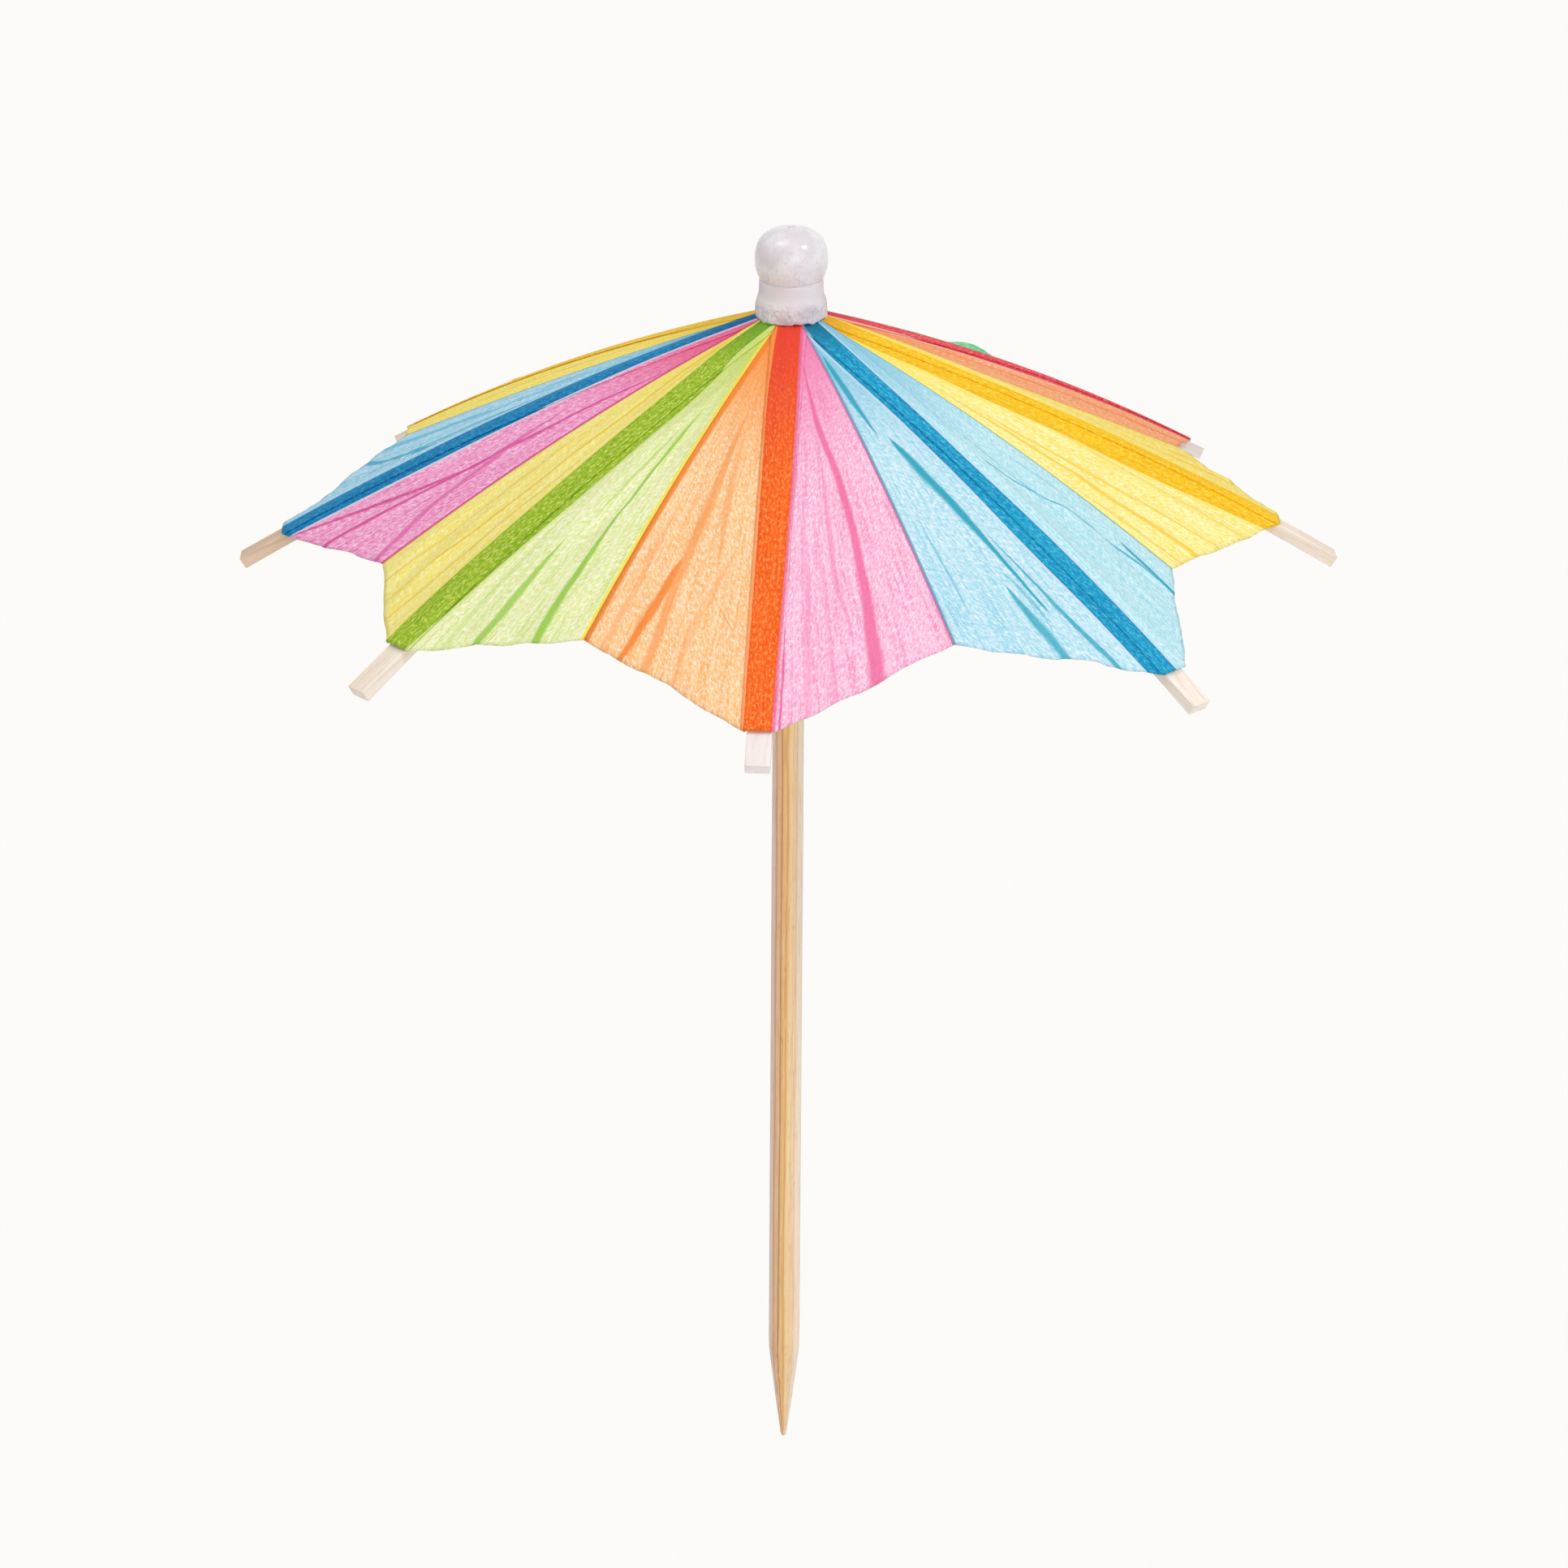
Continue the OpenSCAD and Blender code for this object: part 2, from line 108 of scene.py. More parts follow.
class Look:
    """A material and short calls that add nodes to it."""

    def __init__(self, name, roughness=0.6, **sockets):
        self.material = bpy.data.materials.new(name)
        self.material.use_nodes = True
        self.tree = self.material.node_tree
        self.shader = self.tree.nodes["Principled BSDF"]
        self.shader.inputs["Roughness"].default_value = roughness
        for socket, value in sockets.items():
            self.shader.inputs[socket.replace("_", " ")].default_value = value

    def put(self, socket, value):
        if isinstance(value, bpy.types.NodeSocket):
            self.tree.links.new(value, socket)
        else:
            socket.default_value = value

    def add(self, kind, inputs=None, out=0, **settings):
        node = self.tree.nodes.new(kind)
        for name, value in settings.items():
            setattr(node, name, value)
        for name, value in (inputs or {}).items():
            self.put(node.inputs[name], value)
        return node.outputs[out]

    def math(self, operation, a, b=0.0):
        return self.add("ShaderNodeMath", {0: a, 1: b}, operation=operation)

    def plus(self, a, b):
        return self.math("ADD", a, b)

    def minus(self, a, b):
        return self.math("SUBTRACT", a, b)

    def times(self, a, b):
        return self.math("MULTIPLY", a, b)

    def mix(self, share, a, b):
        return self.add("ShaderNodeMix", {0: share, 6: a, 7: b}, out=2, data_type="RGBA")

    def over(self, share, shade, tone):
        """A tone, from 0 to 255, laid over a shade as far as share says."""
        return self.mix(share, shade, srgb(*tone))

    def step(self, value, low, high, top=1.0):
        """Rises smoothly from 0 to top as value goes from low to high, which may be the lower."""
        inputs = {"Value": value, "From Min": low, "From Max": high, "To Min": 0.0, "To Max": top}
        return self.add("ShaderNodeMapRange", inputs, interpolation_type="SMOOTHSTEP")

    def scaled(self, vector, x, y, z=0.0):
        return self.add("ShaderNodeVectorMath", {0: vector, 1: (x, y, z)}, operation="MULTIPLY")

    def noise(self, vector, detail=2.0, roughness=0.55):
        inputs = {"Vector": vector, "Scale": 1.0, "Detail": detail, "Roughness": roughness}
        return self.add("ShaderNodeTexNoise", inputs)

    def curve(self, value, points):
        """A value's share through a drawn curve of (x, y) points, both from 0 to 1."""
        node = self.tree.nodes.new("ShaderNodeFloatCurve")
        self.put(node.inputs["Value"], value)
        drawn = node.mapping.curves[0]
        for _ in points[2:]:
            drawn.points.new(0.5, 0.5)
        for point, place in zip(drawn.points, sorted(points)):
            point.location = place
            point.handle_type = "AUTO_CLAMPED"
        node.mapping.update()
        return node.outputs[0]

    def uv(self, layer):
        return self.add("ShaderNodeUVMap", uv_map=layer)

    def place(self):
        """Coordinates on the object itself, in metres."""
        return self.add("ShaderNodeTexCoord", out="Object")

    def parts(self, vector):
        node = self.tree.nodes.new("ShaderNodeSeparateXYZ")
        self.put(node.inputs[0], vector)
        return node.outputs[0], node.outputs[1], node.outputs[2]

    def bump(self, height, strength, distance_mm):
        inputs = {"Height": height, "Strength": strength, "Distance": distance_mm * MM}
        self.put(self.shader.inputs["Normal"], self.add("ShaderNodeBump", inputs))

    def colour(self, value):
        self.put(self.shader.inputs["Base Color"], value)


# ---- paper colours

# A half panel: body, deeper and paler tone, tone at the crown, line along the valley and its width
PANELS = {
    ("front", -1): dict(
        body=(252, 206, 150), deep=(248, 170, 98), pale=(255, 238, 214), crown=(248, 140, 44),
        line=(244, 132, 38), line_w=0.34,
    ),
    ("front", 1): dict(
        body=(250, 192, 220), deep=(240, 140, 184), pale=(255, 228, 242), crown=(240, 124, 176),
        line=(196, 120, 170), line_w=0.12,
    ),
    ("front_left", -1): dict(
        body=(253, 240, 134), deep=(244, 216, 84), pale=(255, 252, 204), crown=(250, 224, 92),
        line=(240, 200, 80), line_w=0.1,
    ),
    ("front_left", 1): dict(
        body=(240, 243, 184), deep=(206, 226, 124), pale=(255, 255, 240), crown=(196, 214, 92),
        line=(250, 226, 74), line_w=0.22,
    ),
    ("left", -1): dict(
        body=(176, 222, 243), deep=(112, 192, 226), pale=(228, 244, 251), crown=(90, 186, 222),
        line=(60, 160, 200), line_w=0.12,
    ),
    ("left", 1): dict(
        body=(250, 168, 212), deep=(230, 106, 174), pale=(255, 222, 240), crown=(232, 76, 124),
        line=(216, 70, 140), line_w=0.22,
    ),
    ("back_left", -1): dict(
        body=(250, 222, 84), deep=(238, 194, 48), pale=(255, 242, 156), crown=(242, 196, 66),
        line=(236, 128, 50), line_w=0.5,
    ),
    ("back_left", 1): dict(
        body=(254, 236, 112), deep=(246, 210, 66), pale=(255, 250, 184), crown=(252, 222, 92),
        line=(240, 200, 60), line_w=0.12,
    ),
    ("back", -1): dict(
        body=(132, 212, 110), deep=(70, 176, 84), pale=(198, 238, 170), crown=(60, 160, 110),
        line=(70, 170, 90), line_w=0.16,
    ),
    ("back", 1): dict(
        body=(248, 164, 92), deep=(238, 118, 50), pale=(255, 208, 158), crown=(240, 110, 50),
        line=(236, 128, 50), line_w=0.4,
    ),
    ("back_right", -1): dict(
        body=(250, 172, 118), deep=(246, 136, 80), pale=(255, 210, 170), crown=(248, 150, 96),
        line=(240, 120, 70), line_w=0.12,
    ),
    ("back_right", 1): dict(
        body=(118, 210, 150), deep=(60, 176, 116), pale=(190, 238, 200), crown=(40, 150, 120),
        line=(70, 170, 90), line_w=0.16,
    ),
    ("right", -1): dict(
        body=(252, 241, 150), deep=(246, 218, 90), pale=(255, 253, 212), crown=(252, 226, 92),
        line=(250, 230, 110), line_w=0.12,
    ),
    ("right", 1): dict(
        body=(252, 232, 116), deep=(245, 204, 66), pale=(255, 247, 184), crown=(250, 218, 80),
        line=(244, 196, 60), line_w=0.16,
    ),
    ("front_right", -1): dict(
        body=(196, 231, 244), deep=(138, 206, 229), pale=(236, 246, 252), crown=(124, 194, 220),
        line=(110, 176, 206), line_w=0.1,
    ),
    ("front_right", 1): dict(
        body=(196, 236, 246), deep=(140, 214, 234), pale=(234, 250, 254), crown=(124, 196, 224),
        line=(110, 190, 222), line_w=0.12,
    ),
}

# A band: body, deeper and paler tone, tone at the crown and how far it reaches, tones of the thin
# lines beside it on the left and right, then its middle and half its width in millimetres along the
# rib, from the crown to the edge. The print doesn't lie quite on the ribs.
BANDS = {
    "front": dict(
        body=(248, 104, 14), deep=(232, 76, 10), pale=(252, 154, 86), crown=(230, 60, 46),
        reach=0.5, left=(250, 138, 58), right=(222, 70, 110),
        middle=[(0, 0.0), (0.2, -0.1), (0.5, -0.03), (1, -0.15)],
        half=[(0, 0.8), (0.12, 0.95), (0.3, 1.08), (1, 0.98)],
    ),
    "front_left": dict(
        body=(160, 190, 36), deep=(116, 158, 24), pale=(210, 226, 116), crown=(104, 156, 34),
        reach=0.2, left=(236, 226, 96), right=(206, 226, 130),
        middle=[
            (0, 0.0), (0.11, -0.05), (0.22, 0.42), (0.35, 0.66), (0.6, 0.6), (0.8, 0.26),
            (1, -0.05),
        ],
        half=[(0, 0.6), (0.11, 0.84), (0.22, 1.12), (0.5, 1.26), (0.9, 1.24), (1, 1.1)],
    ),
    "left": dict(
        body=(4, 128, 186), deep=(0, 98, 156), pale=(64, 166, 206), crown=(8, 94, 152),
        reach=0.24, left=(120, 200, 232), right=(206, 226, 240),
        middle=[
            (0, -0.2), (0.16, -0.5), (0.26, -0.4), (0.36, -0.05), (0.54, 0.5), (0.75, 0.9),
            (1, 0.95),
        ],
        half=[(0, 0.6), (0.16, 1.1), (0.26, 1.15), (0.5, 1.0), (1, 1.0)],
    ),
    "back_left": dict(
        body=(248, 204, 52), deep=(240, 180, 34), pale=(253, 230, 128), crown=(240, 190, 48),
        reach=0.2, left=(240, 132, 48), right=(252, 228, 104),
        middle=[(0, 0.5), (1, 0.75)], half=[(0, 0.5), (0.3, 0.8), (1, 0.9)],
    ),
    "back": dict(
        body=(60, 168, 96), deep=(34, 138, 76), pale=(130, 208, 142), crown=(34, 136, 84),
        reach=0.2, left=(126, 206, 110), right=(248, 166, 96),
        middle=[(0, 0.0), (0.4, -0.3), (1, 0.1)], half=[(0, 0.6), (0.3, 1.0), (1, 1.15)],
    ),
    "back_right": dict(
        body=(236, 72, 84), deep=(214, 46, 66), pale=(248, 142, 142), crown=(226, 60, 84),
        reach=0.25, left=(248, 196, 190), right=(60, 170, 130),
        middle=[(0, -0.4), (0.3, -0.75), (0.6, -0.95), (1, -0.9)],
        half=[(0, 0.3), (0.3, 0.62), (0.6, 0.95), (1, 1.1)],
    ),
    "right": dict(
        body=(249, 201, 18), deep=(238, 172, 6), pale=(252, 220, 88), crown=(240, 172, 40),
        reach=0.15, left=(250, 226, 96), right=(250, 226, 96),
        middle=[
            (0, -0.3), (0.11, -1.0), (0.27, -1.5), (0.5, -1.75), (0.75, -1.75), (0.9, -1.45),
            (1, -1.15),
        ],
        half=[(0, 0.5), (0.11, 0.72), (0.27, 1.0), (0.5, 1.25), (0.75, 1.4), (1, 1.4)],
    ),
    "front_right": dict(
        body=(12, 158, 202), deep=(0, 124, 178), pale=(84, 192, 222), crown=(6, 110, 140),
        reach=0.15, left=(206, 224, 240), right=(196, 220, 238),
        middle=[(0, -0.2), (0.1, -0.66), (0.34, -1.0), (0.6, -1.14), (1, -1.06)],
        half=[(0, 0.55), (0.1, 0.8), (0.45, 0.82), (0.7, 1.04), (1, 1.08)],
    ),
}

# Folds and dye streaks of the half panels: tone, strength, then points along the streak as
# (share of the way to the edge, share of the way to the valley, half width in millimetres)
STREAKS = {
    ("front", -1): [
        ((246, 134, 46), 0.9, [(0.70, 0.64, 0), (0.82, 0.69, 0.34), (1, 0.77, 0.2)]),
        ((248, 156, 82), 0.75, [
            (0.26, 0.53, 0), (0.5, 0.58, 0.3), (0.8, 0.62, 0.36), (1, 0.62, 0.3),
        ]),
        ((249, 164, 94), 0.6, [(0.32, 0.47, 0), (0.5, 0.42, 0.25), (0.72, 0.35, 0)]),
        ((240, 140, 70), 0.6, [(0.75, 0.36, 0), (0.78, 0.25, 0.08), (0.83, 0.06, 0.03)]),
        ((249, 164, 94), 0.5, [(0.55, 0.85, 0), (0.8, 0.86, 0.2), (1, 0.88, 0.3)]),
        ((249, 168, 100), 0.4, [(0.6, 0.2, 0), (0.85, 0.42, 0.3), (1, 0.45, 0.3)]),
    ],
    ("front", 1): [
        ((238, 104, 158), 0.85, [
            (0.12, 0.4, 0), (0.3, 0.48, 0.16), (0.5, 0.61, 0.26), (0.66, 0.62, 0.3),
            (1, 0.57, 0.62),
        ]),
        ((242, 132, 178), 0.55, [(0.36, 0.46, 0), (0.68, 0.42, 0.2), (0.89, 0.48, 0.1)]),
        ((226, 84, 150), 0.8, [(0.1, 0.08, 0.06), (0.5, 0.04, 0.07), (1, 0.03, 0.09)]),
        ((244, 140, 184), 0.45, [(0.4, 0.2, 0), (0.7, 0.2, 0.24), (1, 0.18, 0.36)]),
        ((244, 140, 184), 0.4, [(0.5, 0.3, 0), (0.75, 0.33, 0.14), (1, 0.34, 0.24)]),
    ],
    ("front_left", 1): [
        ((150, 202, 66), 0.9, [
            (0.3, 0.72, 0), (0.45, 0.7, 0.12), (0.62, 0.69, 0.12), (0.85, 0.71, 0.3),
            (1, 0.73, 0.34),
        ]),
        ((156, 204, 76), 0.85, [(0.7, 0.4, 0), (0.84, 0.39, 0.3), (1, 0.39, 0.4)]),
        ((178, 216, 100), 0.6, [(0.36, 0.62, 0), (0.5, 0.56, 0.14), (0.68, 0.48, 0)]),
        ((182, 218, 108), 0.45, [(0.6, 0.2, 0), (0.85, 0.2, 0.2), (1, 0.2, 0.24)]),
    ],
    ("front_left", -1): [
        ((232, 190, 50), 0.7, [(0.12, 0.69, 0.1), (0.52, 0.4, 0.16), (1, 0.48, 0.1)]),
        ((230, 184, 48), 0.6, [(0.42, 0.12, 0), (0.73, 0.21, 0.14), (1, 0.28, 0.12)]),
        ((236, 196, 64), 0.5, [(0.3, 0.8, 0), (0.7, 0.72, 0.16), (1, 0.74, 0.12)]),
        ((236, 176, 40), 0.7, [(0.05, 0.03, 0.1), (0.5, 0.03, 0.1), (1, 0.02, 0.1)]),
    ],
    ("front_right", -1): [
        ((20, 160, 186), 0.9, [(0.12, 0.88, 0), (0.24, 0.85, 0.22), (0.4, 0.8, 0.04)]),
        ((24, 164, 188), 0.95, [
            (0.39, 0.65, 0.04), (0.5, 0.57, 0.42), (0.6, 0.5, 0.42), (0.74, 0.45, 0.18),
            (0.88, 0.4, 0.1),
        ]),
        ((28, 166, 192), 0.85, [(0.64, 0.4, 0), (0.86, 0.31, 0.22), (1, 0.22, 0.3)]),
        ((30, 168, 192), 0.85, [(0.8, 0.53, 0), (0.92, 0.49, 0.34), (1, 0.47, 0.36)]),
        ((60, 178, 202), 0.6, [(0.76, 0.5, 0), (0.84, 0.45, 0.1), (0.93, 0.42, 0)]),
        ((84, 180, 208), 0.6, [(0.62, 0.84, 0), (0.78, 0.86, 0.1), (0.94, 0.84, 0)]),
    ],
    ("front_right", 1): [
        ((44, 172, 202), 0.8, [
            (0.3, 0.02, 0), (0.42, 0.1, 0.08), (0.6, 0.4, 0.09), (0.72, 0.6, 0.12),
            (0.9, 0.7, 0.16), (1, 0.72, 0.1),
        ]),
        ((26, 166, 190), 0.9, [(0.84, 0.78, 0), (0.92, 0.75, 0.36), (1, 0.7, 0.16)]),
        ((70, 178, 208), 0.6, [(0.36, 0.3, 0), (0.5, 0.36, 0.08), (0.68, 0.41, 0)]),
        ((90, 186, 214), 0.5, [(0.5, 0.7, 0), (0.62, 0.74, 0.1), (0.76, 0.82, 0)]),
    ],
    ("right", -1): [
        ((244, 202, 46), 0.75, [(0.3, 0.9, 0), (0.63, 0.82, 0.2), (0.98, 0.77, 0.26)]),
        ((244, 206, 58), 0.7, [
            (0.4, 0.84, 0), (0.65, 0.7, 0.18), (0.87, 0.61, 0.14), (1, 0.58, 0.1),
        ]),
        ((246, 210, 66), 0.5, [(0.45, 0.4, 0), (0.75, 0.38, 0.24), (1, 0.34, 0.24)]),
        ((242, 196, 44), 0.6, [(0.72, 0.95, 0), (0.86, 0.93, 0.14), (1, 0.9, 0.1)]),
    ],
    ("right", 1): [
        ((242, 186, 40), 0.6, [(0.2, 0.4, 0), (0.5, 0.4, 0.2), (1, 0.36, 0.3)]),
        ((242, 190, 46), 0.5, [(0.3, 0.7, 0), (0.65, 0.7, 0.2), (1, 0.74, 0.2)]),
    ],
    ("left", 1): [
        ((214, 70, 150), 0.85, [
            (0.22, 0.95, 0), (0.57, 0.6, 0.26), (0.93, 0.45, 0.24), (1, 0.43, 0.2),
        ]),
        ((206, 62, 140), 0.8, [(0.66, 0.55, 0), (0.81, 0.39, 0.28), (1, 0.1, 0.2)]),
        ((224, 96, 164), 0.75, [(0.4, 0.37, 0), (0.7, 0.66, 0.3), (1, 0.92, 0.3)]),
        ((150, 176, 224), 0.8, [
            (0.04, 0.1, 0.3), (0.24, 0.1, 0.5), (0.44, 0.06, 0.4), (0.62, 0.0, 0),
        ]),
    ],
    ("left", -1): [
        ((50, 164, 200), 0.8, [(0.6, 0.02, 0), (0.8, 0.3, 0.3), (1, 0.66, 0.3)]),
        ((76, 176, 208), 0.7, [(0.15, 0.1, 0), (0.6, 0.24, 0.32), (0.9, 0.3, 0.1)]),
        ((90, 184, 214), 0.65, [(0.24, 0.6, 0), (0.65, 0.66, 0.36), (1, 0.8, 0.4)]),
        ((90, 184, 214), 0.5, [(0.3, 0.4, 0), (0.6, 0.45, 0.26), (0.95, 0.5, 0.1)]),
    ],
    ("back_left", -1): [
        ((234, 180, 40), 0.6, [(0.25, 0.4, 0), (0.6, 0.4, 0.2), (1, 0.36, 0.26)]),
        ((240, 150, 50), 0.5, [(0.3, 0.75, 0), (0.65, 0.76, 0.18), (1, 0.8, 0.2)]),
    ],
    ("back_left", 1): [
        ((232, 178, 38), 0.6, [(0.3, 0.5, 0), (0.66, 0.52, 0.2), (1, 0.5, 0.24)]),
    ],
    ("back", -1): [
        ((58, 168, 76), 0.7, [(0.3, 0.5, 0), (0.62, 0.52, 0.22), (1, 0.56, 0.26)]),
        ((70, 176, 84), 0.6, [(0.5, 0.25, 0), (0.78, 0.28, 0.2), (1, 0.24, 0.26)]),
    ],
    ("back", 1): [
        ((238, 122, 44), 0.7, [(0.28, 0.55, 0), (0.6, 0.52, 0.24), (1, 0.48, 0.28)]),
        ((240, 130, 54), 0.6, [(0.6, 0.78, 0), (0.82, 0.8, 0.2), (1, 0.84, 0.24)]),
    ],
    ("back_right", -1): [
        ((236, 104, 66), 0.6, [(0.2, 0.5, 0), (0.6, 0.5, 0.2), (1, 0.46, 0.26)]),
    ],
    ("back_right", 1): [
        ((36, 156, 112), 0.7, [(0.26, 0.45, 0), (0.6, 0.5, 0.22), (1, 0.5, 0.26)]),
        ((44, 160, 120), 0.6, [(0.55, 0.75, 0), (0.8, 0.76, 0.2), (1, 0.8, 0.2)]),
    ],
}

# Waves that lift a half panel: share of the way to the edge, distance across, half sizes along (a
# share) and across, and height, in millimetres
BULGES = {
    ("back_right", 1): [(0.53, 3.0, 0.05, 1.2, 0.8), (0.4, 2.5, 0.12, 1.0, 0.3)],
    ("back_left", -1): [
        (0.8, 2.5, 0.045, 1.2, 0.7), (0.66, 2.4, 0.07, 1.2, 0.45), (0.5, 2.4, 0.1, 1.0, 0.3),
    ],
}

PANEL_W_IN, PANEL_W_GAIN = 0.25, 11.3  # width of a half panel at the crown, and what it gains
FAN_W, FAN_LEN = 11.5, 38.6  # the size that creases are drawn at, fanned out from the crown
FAN_SHIFT = FAN_LEN * 5  # how far apart two half panels' creases are taken
PANEL_SHIFT = 20  # how far a half panel's paper lies from the band's in the layer of true lengths
MIDDLE_SPAN = 8  # width in millimetres that the drawn curve of a band's middle covers


def crepe(look, flat, fan, tones):
    """Crepe paper's own colour and its relief: specks between the threads, creases and soft folds.

    The specks lie in flat, true lengths, and the creases and folds follow fan.
    """
    body, deep, pale = (srgb(*tones[tone]) for tone in ("body", "deep", "pale"))
    grain = look.noise(look.scaled(flat, 5.8, 2.5), detail=3.0, roughness=0.7)
    fibre = look.noise(look.scaled(fan, 4.4, 0.15), detail=3.0, roughness=0.65)
    folds = look.noise(look.scaled(fan, 0.9, 0.045), detail=2.0)
    shade = look.mix(look.step(fibre, 0.49, 0.66, 0.75), body, deep)
    shade = look.mix(look.step(fibre, 0.47, 0.34, 0.35), shade, pale)
    shade = look.mix(look.step(folds, 0.5, 0.74, 0.4), shade, deep)
    shade = look.mix(look.step(grain, 0.48, 0.38, 0.65), shade, deep)
    shade = look.mix(look.step(grain, 0.52, 0.62, 0.85), shade, pale)
    relief = look.plus(grain, look.times(fibre, 0.6))
    return shade, relief


def streaks(look, flat, across, along, width, side, hand, shade):
    """The dye streaks and fold lines of a half panel over its own colour."""
    wander = look.noise(look.scaled(flat, 0.35, 0.22), detail=2.0)
    across = look.plus(across, look.times(look.minus(wander, 0.5), 0.03))
    for tone, strength, points in STREAKS.get((side, hand), []):
        middle = look.curve(along, [(t, u) for t, u, _ in points])
        half_w = look.curve(along, [(t, w) for t, _, w in points])
        first, last = points[0][0], points[-1][0]
        away = look.math("ABSOLUTE", look.minus(across, middle))
        share = look.math("DIVIDE", look.times(away, width), look.plus(half_w, 0.001))
        mask = look.step(share, 1.25, 0.4, strength)
        mask = look.times(mask, look.step(along, first - 0.01, first + 0.02))
        if last < 0.98:
            mask = look.times(mask, look.step(along, last + 0.01, last - 0.02))
        shade = look.over(mask, shade, tone)
    return shade


def from_middle(look, side, across_mm, along):
    """How far a point lies to the right of the middle of its gore's band, in millimetres."""
    middle = look.curve(along, [(t, 0.5 + y / MIDDLE_SPAN) for t, y in BANDS[side]["middle"]])
    return look.minus(look.plus(across_mm, MIDDLE_SPAN / 2), look.times(middle, MIDDLE_SPAN))


def band_over(look, flat, side, off, along, shade):
    """The printed band of a gore with its thin side lines, over the shade of the rest."""
    tones = BANDS[side]
    printed, _ = crepe(look, flat, flat, tones)
    printed = look.over(look.step(along, tones["reach"], 0.02, 0.9), printed, tones["crown"])
    half_w = look.times(look.curve(along, [(t, w / 2) for t, w in tones["half"]]), 2)
    beyond = look.minus(look.math("ABSOLUTE", off), half_w)
    line = look.mix(look.step(off, -0.05, 0.05), srgb(*tones["left"]), srgb(*tones["right"]))
    shade = look.mix(look.step(beyond, 0.36, 0.1, 0.7), shade, line)
    printed = look.over(look.step(beyond, -0.2, -0.02, 0.45), printed, tones["deep"])
    return look.mix(look.step(beyond, 0.04, -0.04), shade, printed)


def panel_look(side, hand):
    """Paper of a half panel: its streaks, the line along its valley and its share of the band."""
    tones = PANELS[side, hand]
    look = Look(f"paper_{side}_{HANDS[hand]}", roughness=0.82, Specular_IOR_Level=PAPER_SHINE)
    flat = look.uv("flat")
    across, along, _ = look.parts(look.uv("gore"))
    shift = FAN_SHIFT * (2 * SIDES.index(side) + hand)
    inputs = {0: look.uv("gore"), 1: (FAN_W, FAN_LEN, 0), 2: (0, shift, 0)}
    fan = look.add("ShaderNodeVectorMath", inputs, operation="MULTIPLY_ADD")
    shade, relief = crepe(look, flat, fan, tones)
    shade = look.over(look.step(along, 0.5, 0.06, 0.85), shade, tones["crown"])
    width = look.plus(look.times(along, PANEL_W_GAIN), PANEL_W_IN)
    shade = streaks(look, flat, across, along, width, side, hand, shade)
    rest = look.times(look.minus(1.0, across), width)
    edge = look.step(rest, tones["line_w"] * 1.15, tones["line_w"] * 0.75, 0.9)
    shade = look.over(edge, shade, tones["line"])
    across_mm = look.minus(look.parts(flat)[0], PANEL_SHIFT * hand)
    off = from_middle(look, side, across_mm, along)
    look.colour(band_over(look, flat, side, off, along, shade))
    look.bump(relief, 0.7, 0.07)
    return look.material


def band_look(side):
    """Paper over a rib: the printed band, and what shows of the half panels beside it."""
    look = Look(f"paper_{side}_band", roughness=0.8, Specular_IOR_Level=PAPER_SHINE)
    flat = look.uv("flat")
    across_mm, along = look.parts(flat)[0], look.parts(look.uv("gore"))[1]
    sides = []
    for hand in (-1, 1):
        tones = PANELS[side, hand]
        shade, relief = crepe(look, flat, flat, tones)
        sides.append(look.over(look.step(along, 0.42, 0.06, 0.8), shade, tones["crown"]))
    off = from_middle(look, side, across_mm, along)
    shade = look.mix(look.step(off, -0.02, 0.02), *sides)
    look.colour(band_over(look, flat, side, off, along, shade))
    look.bump(relief, 0.6, 0.07)
    return look.material


# ---- paper shapes

BOW_R = RIB_LEN ** 2 / (8 * RIB_BOW) + RIB_BOW / 2
SIN, COS = math.sin(RIB_SLOPE), math.cos(RIB_SLOPE)

# The wavy cut: height of a wave in millimetres, its pitch, and how far a seed turns it; then the
# power of the share of the length with which the waves fade towards the crown
CUT_WAVES, CUT_FADE = [(0.16, 7, 1), (0.1, 17, 2)], 8

# Small folds: heights of the wide and the fine ones, and height and width of those in a streak
WIDE_RISE, FINE_RISE, STREAK_RISE, STREAK_W = 0.24, 0.1, 0.12, 0.32


def rib_top(s):
    """Height of a rib's top face above its hinge, in the rib's own frame."""
    arc = math.sqrt((BOW_R + RIB_T / 2) ** 2 - (s - RIB_LEN / 2) ** 2)
    return HEEL_DROP + arc - (BOW_R - RIB_BOW)


def band_half(t):
    """Half the width of a rib's band at a share t of its length."""
    return (BAND_IN_W + t * (BAND_OUT_W - BAND_IN_W)) / 2


class Rib:
    """A rib's plane at rest: where it is hinged and which way it points."""

    def __init__(self, side):
        joint = next(j for j in frame["joints"] if j["name"] == f"rib_{side}_fold")
        self.side, self.body, self.joint = side, joint["child"], joint["name"]
        self.across = Vector(joint["axis"])
        self.out = self.across.cross(Vector((0, 0, 1)))
        hinge = Vector(joint["pos_m"]) / MM
        self.pivot_r, self.hinge_z = Vector(hinge.xy).length, hinge.z
        self.paper_len = PAPER_LENS[SIDES.index(side)]
        self.crown_s = (CROWN_R - self.pivot_r - rib_top(0) * SIN) / COS
        self.crown_z = self.open(self.crown_s, rib_top(self.crown_s) + PAPER_GAP)[1]

    def open(self, s, z):
        """How far out and how high a point of the rib's own frame lies at rest."""
        return self.pivot_r + s * COS + z * SIN, self.hinge_z - s * SIN + z * COS

    def world(self, x, y, z):
        """A point of the rib's plane, in metres in the scene."""
        return (self.out * x + self.across * y + Vector((0, 0, z))) * MM


RIBS = [Rib(side) for side in SIDES]


